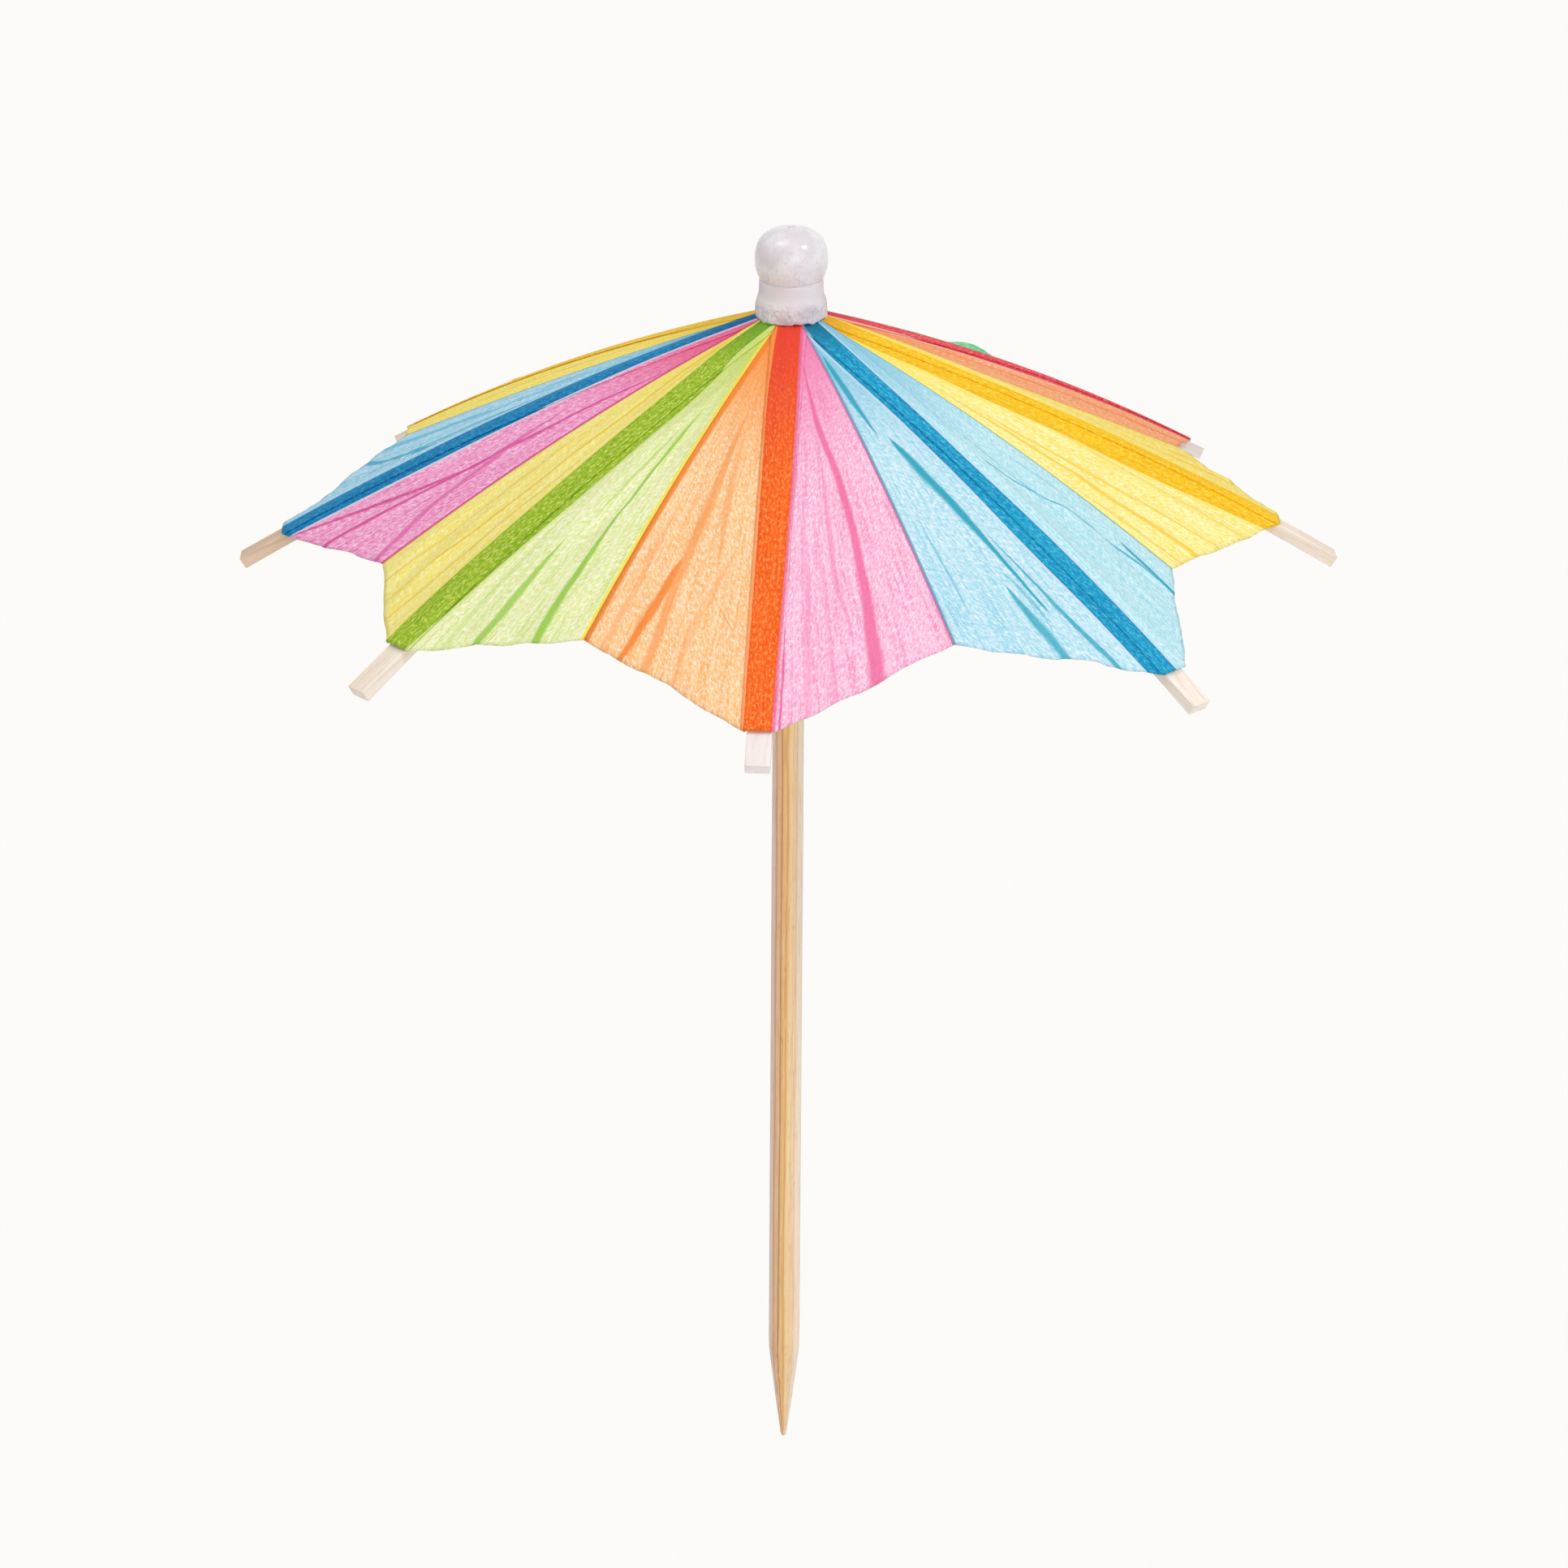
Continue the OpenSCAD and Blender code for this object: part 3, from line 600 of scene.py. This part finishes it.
class Half:
    """The paper from a rib's band to the valley on its left (-1) or its right (1)."""

    def __init__(self, k, hand):
        self.rib, self.hand = RIBS[k], hand
        self.valley = k if hand < 0 else (k - 1) % 8
        other = RIBS[(k - hand) % 8]
        self.half_gap = self.rib.out.angle(other.out) / 2
        self.name = f"gore_{self.rib.side}_{HANDS[hand]}_half"
        self.seed = 10 * k + 5 * hand

    def edge(self, t):
        """The valley at a share t of its length, in the rib's plane; across is taken positive."""
        rib = self.rib
        r = CROWN_R + t * (VALLEY_REACH[self.valley] - CROWN_R)
        z = rib.crown_z + t * (rib.hinge_z - VALLEY_DROP[self.valley] - rib.crown_z)
        z += 4 * VALLEY_BOW[self.valley] * t * (1 - t)
        return Vector((r * math.cos(self.half_gap), r * math.sin(self.half_gap), z))

    def point(self, t, y):
        """The underside of the paper at a share t of its length and a distance y across."""
        band_y = band_half(t)
        s = self.rib.crown_s + t * (self.rib.paper_len - self.rib.crown_s)
        x, z = self.rib.open(s, rib_top(s) + PAPER_GAP)
        if y <= band_y:
            return Vector((x, y, z))
        start, end = Vector((x, band_y, z)), self.edge(t)
        return start.lerp(end, (y - band_y) / (end.y - band_y))

    def cut(self, t, u):
        """The share of the length that the wavy cut makes of t at a share u of the way across."""
        wave = math.sin(math.pi * u) * sum(
            rise * math.sin(pitch * u + turn * self.seed) for rise, pitch, turn in CUT_WAVES
        )
        return t + wave / self.rib.paper_len * max(0, t) ** CUT_FADE

    def keep(self):
        """The share of its width it keeps when shut, to end halfway to the next rib or before."""
        shut = RIB_SLOPE + FOLD
        shares = []
        for t in (0.5, 0.9):
            p = self.edge(t)
            dx, dz = p.x - self.rib.pivot_r, p.z - self.rib.hinge_z
            s, z = dx * COS - dz * SIN, dx * SIN + dz * COS
            reach = self.rib.pivot_r + s * math.cos(shut) + z * math.sin(shut)
            room = math.tan(self.half_gap) * reach
            shares.append((room - FOLD_Y) / (p.y - FOLD_Y))
        return min(shares)


def smooth(value, low, high):
    """Rises smoothly from 0 to 1 as value goes from low to high."""
    x = min(1, max(0, (value - low) / (high - low)))
    return x * x * (3 - 2 * x)


def between(points, t):
    """Linear value at t through (t, value) points, or None outside them."""
    for (t0, v0), (t1, v1) in zip(points, points[1:]):
        if t0 <= t <= t1:
            return v0 + (v1 - v0) * (t - t0) / (t1 - t0)
    return None


def crinkle(half, t, y, edge_y, u):
    """Height of the small folds of a half panel, in millimetres, nothing at its band and valley."""
    room = smooth(y, FOLD_Y, FOLD_Y + 1.2) * smooth(edge_y - y, 0, 1.5)
    along = t * half.rib.paper_len
    height = WIDE_RISE * noise.noise(Vector((y * 0.5, along * 0.06, half.seed)))
    height += FINE_RISE * noise.noise(Vector((y * 1.5, along * 0.16, half.seed + 3)))
    for t0, y0, half_t, half_y, rise in BULGES.get((half.rib.side, half.hand), []):
        height += rise * math.exp(-(((t - t0) / half_t) ** 2) - ((y - y0) / half_y) ** 2)
    for _, strength, points in STREAKS.get((half.rib.side, half.hand), []):
        middle = between([(t0, u0) for t0, u0, _ in points], t)
        if middle is not None:
            away = (u - middle) * (PANEL_W_IN + PANEL_W_GAIN * t)
            swell = smooth(t, points[0][0], points[0][0] + 0.2)
            height += STREAK_RISE * strength * math.exp(-(away / STREAK_W) ** 2) * swell
    return height * room


def added(name, data):
    """A new object in the scene."""
    made = bpy.data.objects.new(name, data)
    bpy.context.scene.collection.objects.link(made)
    return made


def mesh_object(name, points, faces, layers, material):
    """A smooth mesh in the scene; layers holds a UV pair per point for each name."""
    mesh = bpy.data.meshes.new(name)
    mesh.from_pydata(points, [], faces)
    for layer, values in layers.items():
        data = mesh.uv_layers.new(name=layer).data
        for loop in mesh.loops:
            data[loop.index].uv = values[loop.vertex_index]
    mesh.polygons.foreach_set("use_smooth", [True] * len(mesh.polygons))
    mesh.materials.append(material)
    return added(name, mesh)


def grid_faces(rows, columns, flip=False):
    """Quads between rows of points."""
    faces = [
        (i * columns + j, i * columns + j + 1, (i + 1) * columns + j + 1, (i + 1) * columns + j)
        for i in range(rows - 1)
        for j in range(columns - 1)
    ]
    return [face[::-1] for face in faces] if flip else faces


def thicken(piece):
    solid = piece.modifiers.new("paper", "SOLIDIFY")
    solid.thickness, solid.offset = SHEET_T * MM, 0
    return piece


def lifted(half, t, y, up):
    """A point of the paper raised squarely off the rib."""
    p = half.point(t, y)
    return p + Vector((SIN, 0, COS)) * up


def half_panel(half):
    """One half panel as a sheet, carried by its rib."""
    points, gore, flat = [], [], []
    rib = half.rib
    for i in range(ROWS):
        t0 = i / (ROWS - 1)
        for j in range(COLUMNS):
            share = j / (COLUMNS - 1)
            t = half.cut(t0, share)
            edge_y = half.edge(t).y
            root_y = min(TUCK_Y, TUCK_SHARE * edge_y)
            y = root_y + share * (edge_y - root_y)
            band_y = band_half(t)
            u = (y - band_y) / (edge_y - band_y)
            p = lifted(half, t, y, PANEL_LIFT + crinkle(half, t, y, edge_y, u))
            points.append(rib.world(p.x, half.hand * p.y, p.z))
            gore.append((u, t))
            flat.append((half.hand * (y + PANEL_SHIFT), t * rib.paper_len + half.seed))
    faces = grid_faces(ROWS, COLUMNS, half.hand < 0)
    look = panel_look(rib.side, half.hand)
    piece = thicken(mesh_object(half.name, points, faces, {"gore": gore, "flat": flat}, look))
    width = (half.edge(1) - half.point(1, TUCK_Y)).length * MM
    half.keep()
    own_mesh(piece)
    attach(piece, rib.body)
    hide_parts(f"paper_gore_{rib.side}")
    rib_side = half.point(1, TUCK_Y) - half.point(0, TUCK_Y)
    valley_side = half.edge(1) - half.edge(0)
    return piece


def band(k):
    """The paper over a rib, with a strip on each side that hides where the half panels start."""
    rib, halves = RIBS[k], {hand: Half(k, hand) for hand in HANDS}
    wing, inside = WING_COLUMNS, INSIDE_COLUMNS
    columns = 2 * wing + inside
    points, gore, flat = [], [], []
    for i in range(ROWS):
        t = i / (ROWS - 1)
        band_y = band_half(t)
        for j in range(columns):
            hand = -1 if j < wing + inside // 2 else 1
            half = halves[hand]
            reach = min(WING_Y, WING_SHARE * half.edge(max(t, WING_FROM)).y)
            if wing <= j < wing + inside:
                y = band_y * abs(2 * (j - wing) / (inside - 1) - 1)
            else:
                step = (wing - j if j < wing else j - wing - inside + 1) / wing
                y = band_y + step * (reach - band_y)
            crown = BAND_RISE * max(0, 1 - (y / band_y) ** 2)
            p = lifted(half, t, y, BAND_LIFT + crown)
            points.append(rib.world(p.x, hand * p.y, p.z))
            gore.append((y / WING_Y, t))
            flat.append((hand * y, t * rib.paper_len + 10 * k))
    layers, look = {"gore": gore, "flat": flat}, band_look(rib.side)
    piece = mesh_object(f"gore_{rib.side}_band", points, grid_faces(ROWS, columns), layers, look)
    thicken(piece)
    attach(piece, rib.body)
    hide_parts(f"paper_gore_{rib.side}")
    return piece


for k, rib in enumerate(RIBS):
    for piece in (band(k), half_panel(Half(k, -1)), half_panel(Half(k, 1))):
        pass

# ---- wood, wire and white parts


def grained(look, shade, fine, pores):
    """Ends a wood's look: its colour, and relief from its fibres and pores."""
    look.colour(shade)
    look.bump(look.plus(fine, look.times(pores, 0.5)), 0.35, 0.04)
    return look.material


def wood(name, along, across, light, mid, dark, bands=0.9):
    """Fine-grained wood or bamboo whose grain runs along a direction."""
    look = Look(name, roughness=0.55)
    place = look.place()
    third = along.cross(across)

    def part(direction):
        inputs = {0: place, 1: direction}
        return look.add("ShaderNodeVectorMath", inputs, out="Value", operation="DOT_PRODUCT")

    def stretched(fine, coarse, shift=0.0):
        values = (
            look.times(part(across), fine / MM),
            look.times(part(third), fine / MM),
            look.plus(look.times(part(along), coarse / MM), shift),
        )
        node = look.tree.nodes.new("ShaderNodeCombineXYZ")
        for socket, value in zip(node.inputs, values):
            look.put(socket, value)
        return node.outputs[0]

    broad = look.noise(stretched(bands, 0.012), detail=1.5)
    fine = look.noise(stretched(bands * 5, 0.08, 4.0), detail=3.0)
    pores = look.noise(stretched(bands * 9, 0.5, 9.0), detail=2.0)
    shade = look.mix(look.step(broad, 0.38, 0.62), srgb(*light), srgb(*mid))
    shade = look.over(look.step(broad, 0.56, 0.7, 0.75), shade, dark)
    shade = look.over(look.step(fine, 0.5, 0.75, 0.4), shade, dark)
    shade = look.over(look.step(fine, 0.45, 0.28, 0.4), shade, light)
    shade = look.over(look.step(pores, 0.62, 0.75, 0.35), shade, dark)
    return grained(look, shade, fine, pores)


def dress(node, material):
    """Gives a carried-over CAD node its material."""
    mesh = frame["nodes"][node].data
    mesh.materials.clear()
    mesh.materials.append(material)


UP, RIGHT = Vector((0, 0, 1)), Vector((1, 0, 0))


def ring_faces(rings, turns):
    """Quads between closed rings of points."""
    faces = []
    for i in range(rings - 1):
        low, high = i * turns, (i + 1) * turns
        for j in range(turns):
            k = (j + 1) % turns
            faces.append((low + j, low + k, high + k, high + j))
    return faces


def turned(name, profile, look, node):
    """A round piece from (radius, height) points, lowest first, in place of a node on the pick."""
    turns = 96
    points = [
        Vector((r * math.cos(a), r * math.sin(a), z)) * MM
        for r, z in profile
        for a in (2 * math.pi * j / turns for j in range(turns))
    ]
    faces = ring_faces(len(profile), turns)
    last = (len(profile) - 1) * turns
    faces += [tuple(range(turns))[::-1], tuple(range(last, last + turns))]
    piece = mesh_object(name, points, faces, {}, look)
    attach(piece, "pick")
    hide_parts(node)


# The pick's stripe tones: share of the way round it, from the back over the left, then the tone.
# The stripe lines are the bamboo's own. Painted light: the tones from 0.345 to 0.434 are made
# lighter for the weaker light on the pick's left, and the pale tones from 0.58 to 0.75 stand for
# the light on its right.
STRIPES_WITH_PAINTED_LIGHT = [
    (0.0, (226, 184, 128)), (0.08, (206, 158, 104)), (0.16, (232, 194, 144)),
    (0.25, (240, 216, 196)), (0.345, (246, 220, 200)), (0.372, (214, 162, 128)),
    (0.395, (246, 202, 158)), (0.422, (244, 194, 142)), (0.434, (196, 132, 84)),
    (0.449, (240, 196, 138)), (0.474, (249, 202, 134)), (0.492, (230, 174, 102)),
    (0.506, (249, 200, 128)), (0.532, (252, 222, 174)), (0.566, (246, 208, 156)),
    (0.58, (250, 222, 182)), (0.597, (240, 200, 166)), (0.62, (252, 232, 206)),
    (0.75, (252, 236, 214)), (0.84, (234, 196, 146)), (0.92, (214, 166, 110)),
    (1.0, (226, 184, 128)),
]


def bamboo():
    """Split bamboo striped along it by the direction from its middle, some tones painted light."""
    look = Look("pick_bamboo", roughness=0.5)
    place = look.place()
    drift = look.noise(look.scaled(place, 0.5 / MM, 0.5 / MM, 0.03 / MM), detail=2.0)
    x, y, _ = look.parts(place)
    turn = look.math("ARCTAN2", x, look.times(y, -1))
    turn = look.plus(look.math("DIVIDE", turn, 2 * math.pi), 0.5)
    turn = look.plus(turn, look.times(look.minus(drift, 0.5), 0.05))
    # painted light: the ramp holds lightened tones on the pick's left and lit tones on its right
    stripes_with_light = look.tree.nodes.new("ShaderNodeValToRGB")
    look.put(stripes_with_light.inputs[0], turn)
    drawn = stripes_with_light.color_ramp.elements
    for _ in STRIPES_WITH_PAINTED_LIGHT[2:]:
        drawn.new(0.5)
    for stop, (share, tone) in zip(drawn, STRIPES_WITH_PAINTED_LIGHT):
        stop.position, stop.color = share, srgb(*tone)
    fine = look.noise(look.scaled(place, 7 / MM, 7 / MM, 0.25 / MM), detail=3.0)
    pores = look.noise(look.scaled(place, 10 / MM, 10 / MM, 1.2 / MM), detail=2.0)
    shade = look.over(look.step(fine, 0.52, 0.7, 0.35), stripes_with_light.outputs[0], (204, 150, 92))
    shade = look.over(look.step(fine, 0.46, 0.32, 0.35), shade, (255, 236, 208))
    shade = look.over(look.step(pores, 0.6, 0.72, 0.3), shade, (176, 116, 72))
    return grained(look, shade, fine, pores)


# The pick's point, as (radius, height over the tip): fuller than the CAD's, and it ends blunt. The
# rest of the pick follows the CAD's own rings.
POINT = [
    (0.06, 0.0), (0.13, 0.04), (0.19, 0.14), (0.245, 0.38), (0.36, 1.24), (0.51, 2.35),
    (0.715, 3.97), (0.99, 6.17), (1.12, 7.3), (1.175, 7.95), (1.196, 8.4),
]
rings = {round(v.co.z / MM, 3): v.co.xy.length / MM for v in frame["nodes"]["pick"].data.vertices}
tip_z = min(rings)
shaft = [(r, z) for z, r in sorted(rings.items()) if z >= 0]
turned("pick_bamboo", [(r, tip_z + z) for r, z in POINT] + shaft, bamboo(), "pick")
lathed = wood("turned_wood", UP, RIGHT, (236, 212, 170), (220, 186, 134), (186, 142, 90), bands=0.7)
for name in ("top_hub", "runner"):
    dress(name, lathed)

# Woods: light, middle and dark tone
# Painted light and shade: these ribs get lighter, darker or pinker copies of the usual tones
RIB_TONES_WITH_PAINTED_LIGHT = {
    "front": ((244, 236, 234), (236, 225, 221), (218, 201, 189)),
    "front_right": ((252, 243, 234), (244, 230, 216), (216, 182, 148)),
    "left": ((226, 200, 172), (208, 174, 144), (176, 138, 108)),
    "back_right": ((240, 232, 228), (228, 216, 210), (204, 186, 174)),
}
USUAL_RIB = ((247, 235, 222), (238, 221, 201), (214, 184, 152))
STRETCHER_TONES = ((238, 216, 176), (222, 190, 140), (188, 146, 96))
PIN_TONES = ((206, 164, 104), (184, 138, 80), (150, 104, 58))
EDGE_R, EDGE_STEPS, EDGE_ANGLE = 0.38, 4, math.radians(50)  # the ribs' rounded edges

for rib in RIBS:
    side, along = rib.side, rib.out * COS - UP * SIN
    strip = frame["nodes"][f"rib_{side}"]
    strip.modifiers.new("weld", "WELD").merge_threshold = 0.001 * MM
    edges = strip.modifiers.new("edges", "BEVEL")
    edges.width, edges.segments, edges.angle_limit = EDGE_R * MM, EDGE_STEPS, EDGE_ANGLE
    # painted light and shade: the tones of some ribs stand for how light falls on them
    tones = RIB_TONES_WITH_PAINTED_LIGHT.get(side, USUAL_RIB)
    dress(f"rib_{side}", wood(f"rib_wood_{side}", along, rib.across, *tones))
    stretcher = wood(f"stretcher_wood_{side}", rib.out, rib.across, *STRETCHER_TONES)
    dress(f"stretcher_{side}", stretcher)
    dress(f"rib_pin_{side}", wood(f"pin_wood_{side}", rib.across, UP, *PIN_TONES, bands=3.0))


def plastic(
    name, body, shadow, roughness, bumps, grain=1.0, specks=0.3, depth=0.04, smooth_above=None
):
    """White moulded or pressed material with an uneven tone, and no grain above smooth_above."""
    look = Look(name, roughness=roughness)
    place = look.place()
    cloud = look.noise(look.scaled(place, 0.35 / MM, 0.35 / MM, 0.35 / MM), detail=2.0)
    across, along = 5 * grain / MM, 4 * grain / MM
    fine = look.noise(look.scaled(place, across, across, along), detail=3.0)
    if smooth_above:
        height = look.parts(place)[2]
        rough = look.step(height, (smooth_above + 0.4) * MM, (smooth_above - 0.6) * MM)
        fine = look.times(fine, rough)
    shade = look.mix(look.step(cloud, 0.42, 0.66, 0.6), srgb(*body), srgb(*shadow))
    look.colour(look.over(look.step(fine, 0.5, 0.64, specks), shade, shadow))
    look.bump(look.plus(fine, cloud), bumps, depth)
    return look.material


# The bead: its widest ring, how high its top rises over that and how square it is, then its seam
# with the collar and its foot inside the collar
BEAD_R, BEAD_MID, BEAD_RISE, SQUARENESS = 2.7, 88.62, 2.4, 2.5
SEAM_R, SEAM_Z, FOOT_R, FOOT_Z = 2.35, 87.19, 2.25, 86.62
SIDE_RINGS, TOP_RINGS = 14, 40

bead_profile = [(FOOT_R, FOOT_Z), (FOOT_R, SEAM_Z - 0.05), (SEAM_R - 0.03, SEAM_Z)]
for i in range(1, SIDE_RINGS + 1):
    down = 1 - i / SIDE_RINGS
    r = BEAD_R - (BEAD_R - SEAM_R) * down ** 2.2
    bead_profile.append((r, BEAD_MID - down * (BEAD_MID - SEAM_Z)))
for i in range(1, TOP_RINGS + 1):
    up = math.sin(i / TOP_RINGS * math.pi / 2)
    r = BEAD_R * max(0.004, 1 - up ** SQUARENESS) ** (1 / SQUARENESS)
    bead_profile.append((r, BEAD_MID + up * BEAD_RISE))
bead_look = plastic("bead_white", (238, 235, 240), (212, 203, 209), 0.2, 0.08, specks=0.4)
turned("finial_bead_moulded", bead_profile, bead_look, "finial_bead")
dress("retaining_ring", plastic("ring_plastic", (238, 240, 238), (222, 226, 226), 0.3, 0.05))
metal = Look("hinge_wire_metal", roughness=0.35, Metallic=1.0)
drawn = metal.noise(metal.scaled(metal.place(), 3 / MM, 3 / MM, 3 / MM), detail=2.0)
metal.colour(metal.mix(drawn, srgb(206, 168, 92), srgb(176, 136, 66)))
metal.bump(drawn, 0.1, 0.02)
dress("hinge_wire", metal.material)


def finely(profile, step):
    """The same profile with points about a step apart."""
    fine = [profile[0]]
    for (r0, z0), (r1, z1) in zip(profile, profile[1:]):
        count = max(1, round(math.dist((r0, z0), (r1, z1)) / step))
        fine += [
            (r0 + (r1 - r0) * i / count, z0 + (z1 - z0) * i / count) for i in range(1, count + 1)
        ]
    return fine


def crepe_collar():
    """The white crepe collar: smooth round the bead's neck, then a rough skirt with a torn edge."""
    low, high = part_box("crepe_collar")
    z0, z1, bore_r, turns = low.z / MM, high.z / MM, 1.22, 168
    top = SEAM_Z - 0.02
    profile = finely([
        (bore_r, z1 - 0.1), (2.2, z1 - 0.1), (2.2, top), (SEAM_R - 0.06, top), (SEAM_R, top - 0.05),
        (SEAM_R + 0.02, top - 0.2), (SEAM_R + 0.03, z1 - 0.3), (2.42, z1 - 0.6), (2.52, z1 - 0.9),
        (2.59, z1 - 1.2), (2.63, z1 - 1.6), (2.65, z0 + 0.3), (2.62, z0 + 0.08), (2.54, z0),
        (2.4, z0 + 0.05), (bore_r + 0.5, z0 + 0.5), (bore_r, z0 + 0.72),
    ], 0.12)
    points = []
    for r, z in profile:
        low_share = smooth(z1 - z, 0.6, 1.4)
        outer = 1 if r > SEAM_R - 0.1 else 0
        for j in range(turns):
            a = 2 * math.pi * j / turns
            ring = Vector((math.cos(a), math.sin(a)))
            pleat = noise.noise(Vector((ring.x * 5, ring.y * 5, z * 0.3)))
            lump = noise.noise(Vector((ring.x * 7, ring.y * 7, z * 2.6 + 9)))
            grit = noise.noise(Vector((ring.x * 17, ring.y * 17, z * 6)))
            torn = noise.noise(Vector((ring.x * 4, ring.y * 4, 20)))
            here = r + outer * low_share * (0.05 * pleat + 0.05 * lump + 0.06 * grit)
            edge = 0.22 * smooth(z1 - z, 1.2, z1 - z0) * (torn + 0.25) * outer
            points.append(Vector((ring.x * here, ring.y * here, z + edge)) * MM)
    faces = [(a, d, c, b) for a, b, c, d in ring_faces(len(profile), turns)]  # it runs downwards
    last = (len(profile) - 1) * turns
    faces += [(last + j, j, (j + 1) % turns, last + (j + 1) % turns) for j in range(turns)]
    look = plastic(
        "collar_crepe", (231, 225, 230), (192, 178, 185), roughness=0.85, bumps=1.0, grain=1.1,
        specks=0.6, depth=0.1, smooth_above=z1 - 0.7,
    )
    piece = mesh_object("crepe_collar_pleated", points, faces, {}, look)
    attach(piece, "pick")
    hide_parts("crepe_collar")


crepe_collar()


def runner_thread():
    """Cotton thread wound round the runner's groove, over the stretchers' inner ends."""
    _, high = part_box("runner")
    groove_r, z = high.x / MM - 0.2, high.z / MM - 0.95
    turns, steps, pitch, thread_r = 3, 48, 0.14, 0.07
    line = bpy.data.curves.new("runner_thread", "CURVE")
    line.dimensions, line.bevel_depth, line.bevel_resolution = "3D", thread_r * MM, 3
    path = line.splines.new("POLY")
    path.points.add(turns * steps)
    for i, point in enumerate(path.points):
        a = 2 * math.pi * i / steps
        rise = pitch * (i / steps - turns / 2)
        place = Vector((groove_r * math.cos(a), groove_r * math.sin(a), z + rise)) * MM
        point.co = (*place, 1)
    cotton = Look("thread_cotton", roughness=0.9)
    twist = cotton.noise(cotton.scaled(cotton.place(), 9 / MM, 9 / MM, 22 / MM), detail=2.0)
    cotton.colour(cotton.mix(twist, srgb(240, 236, 228), srgb(206, 196, 182)))
    cotton.bump(twist, 0.5, 0.03)
    line.materials.append(cotton.material)
    piece = added("runner_thread", line)
    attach(piece, "runner")


runner_thread()

# ---- camera, light and floor

DISTANCE, ELEVATION, ROLL = 501.1, math.radians(22.44), math.radians(0.376)
AIM = Vector((-0.294, 0, 46.93))
FOCAL_PX, PICTURE_PX, SENSOR = 8148, 1932, 36

back = Vector((0, -math.cos(ELEVATION), math.sin(ELEVATION)))
level = Vector((0, math.sin(ELEVATION), math.cos(ELEVATION)))
side_on = RIGHT * math.cos(ROLL) + level * math.sin(ROLL)
upward = level * math.cos(ROLL) - RIGHT * math.sin(ROLL)
lens = bpy.data.cameras.new("camera")
lens.lens, lens.sensor_width = FOCAL_PX / PICTURE_PX * SENSOR, SENSOR
lens.clip_start, lens.clip_end = 0.01, 20
camera = added("camera", lens)
place = (AIM + back * DISTANCE) * MM
facing = Matrix((side_on, upward, back)).transposed().to_4x4()
camera.matrix_world = Matrix.Translation(place) @ facing
bpy.context.scene.camera = camera
bpy.context.scene.view_settings.view_transform = "Standard"


def seen_directly(tree):
    """1 for camera, glossy and transmission rays, which see the white background."""
    path = tree.nodes.new("ShaderNodeLightPath")
    total = path.outputs["Is Camera Ray"]
    for name in ("Is Glossy Ray", "Is Transmission Ray"):
        add = tree.nodes.new("ShaderNodeMath")
        add.operation, add.use_clamp = "ADD", True
        tree.links.new(total, add.inputs[0])
        tree.links.new(path.outputs[name], add.inputs[1])
        total = add.outputs[0]
    return total


def mixed(tree, share, a, b, output):
    """Joins two shaders by a share, into an output."""
    mix = tree.nodes.new("ShaderNodeMixShader")
    tree.links.new(share, mix.inputs[0])
    tree.links.new(a, mix.inputs[1])
    tree.links.new(b, mix.inputs[2])
    tree.links.new(mix.outputs[0], output)


WHITE, AMBIENT_TONE = (0.99, 0.975, 0.955, 1), (1, 0.99, 0.975, 1)
AMBIENT, FLOOR_GREY, FLOOR_SIZE, FLOOR_GLOW = 0.55, 0.82, 6.0, 0.95

world = bpy.data.worlds.new("studio")
world.use_nodes = True
bpy.context.scene.world = world
tree = world.node_tree
ambient, shown = tree.nodes["Background"], tree.nodes.new("ShaderNodeBackground")
ambient.inputs["Color"].default_value = AMBIENT_TONE
ambient.inputs["Strength"].default_value = AMBIENT
shown.inputs["Color"].default_value = WHITE
output = tree.nodes["World Output"].inputs[0]
mixed(tree, seen_directly(tree), ambient.outputs[0], shown.outputs[0], output)

bpy.ops.mesh.primitive_plane_add(size=FLOOR_SIZE, location=(0, 0, cad_box[0].z))
floor = bpy.context.object
floor.name = "floor"
paint = bpy.data.materials.new("floor_white")
paint.use_nodes = True
tree = paint.node_tree
diffuse = tree.nodes.new("ShaderNodeBsdfDiffuse")
diffuse.inputs["Color"].default_value = (FLOOR_GREY, FLOOR_GREY, FLOOR_GREY, 1)
glow = tree.nodes.new("ShaderNodeEmission")
glow.inputs["Color"].default_value = WHITE
blend = tree.nodes.new("ShaderNodeMixShader")
blend.inputs[0].default_value = FLOOR_GLOW
tree.links.new(diffuse.outputs[0], blend.inputs[1])
tree.links.new(glow.outputs[0], blend.inputs[2])
output = tree.nodes["Material Output"].inputs[0]
mixed(tree, seen_directly(tree), diffuse.outputs[0], blend.outputs[0], output)
floor.data.materials.append(paint)


def lamp(name, place_mm, size_mm, power):
    """A square lamp that faces what the camera looks at."""
    light = bpy.data.lights.new(name, "AREA")
    light.energy, light.size = power, size_mm * MM
    made = added(name, light)
    made.location = Vector(place_mm) * MM
    made.rotation_euler = (AIM * MM - made.location).to_track_quat("-Z", "Y").to_euler()


lamp("key", (440, -240, 671), 170, 1.45)
lamp("top", (-240, -80, 807), 420, 1.45)
lamp("low", (200, -730, 167), 420, 1.25)
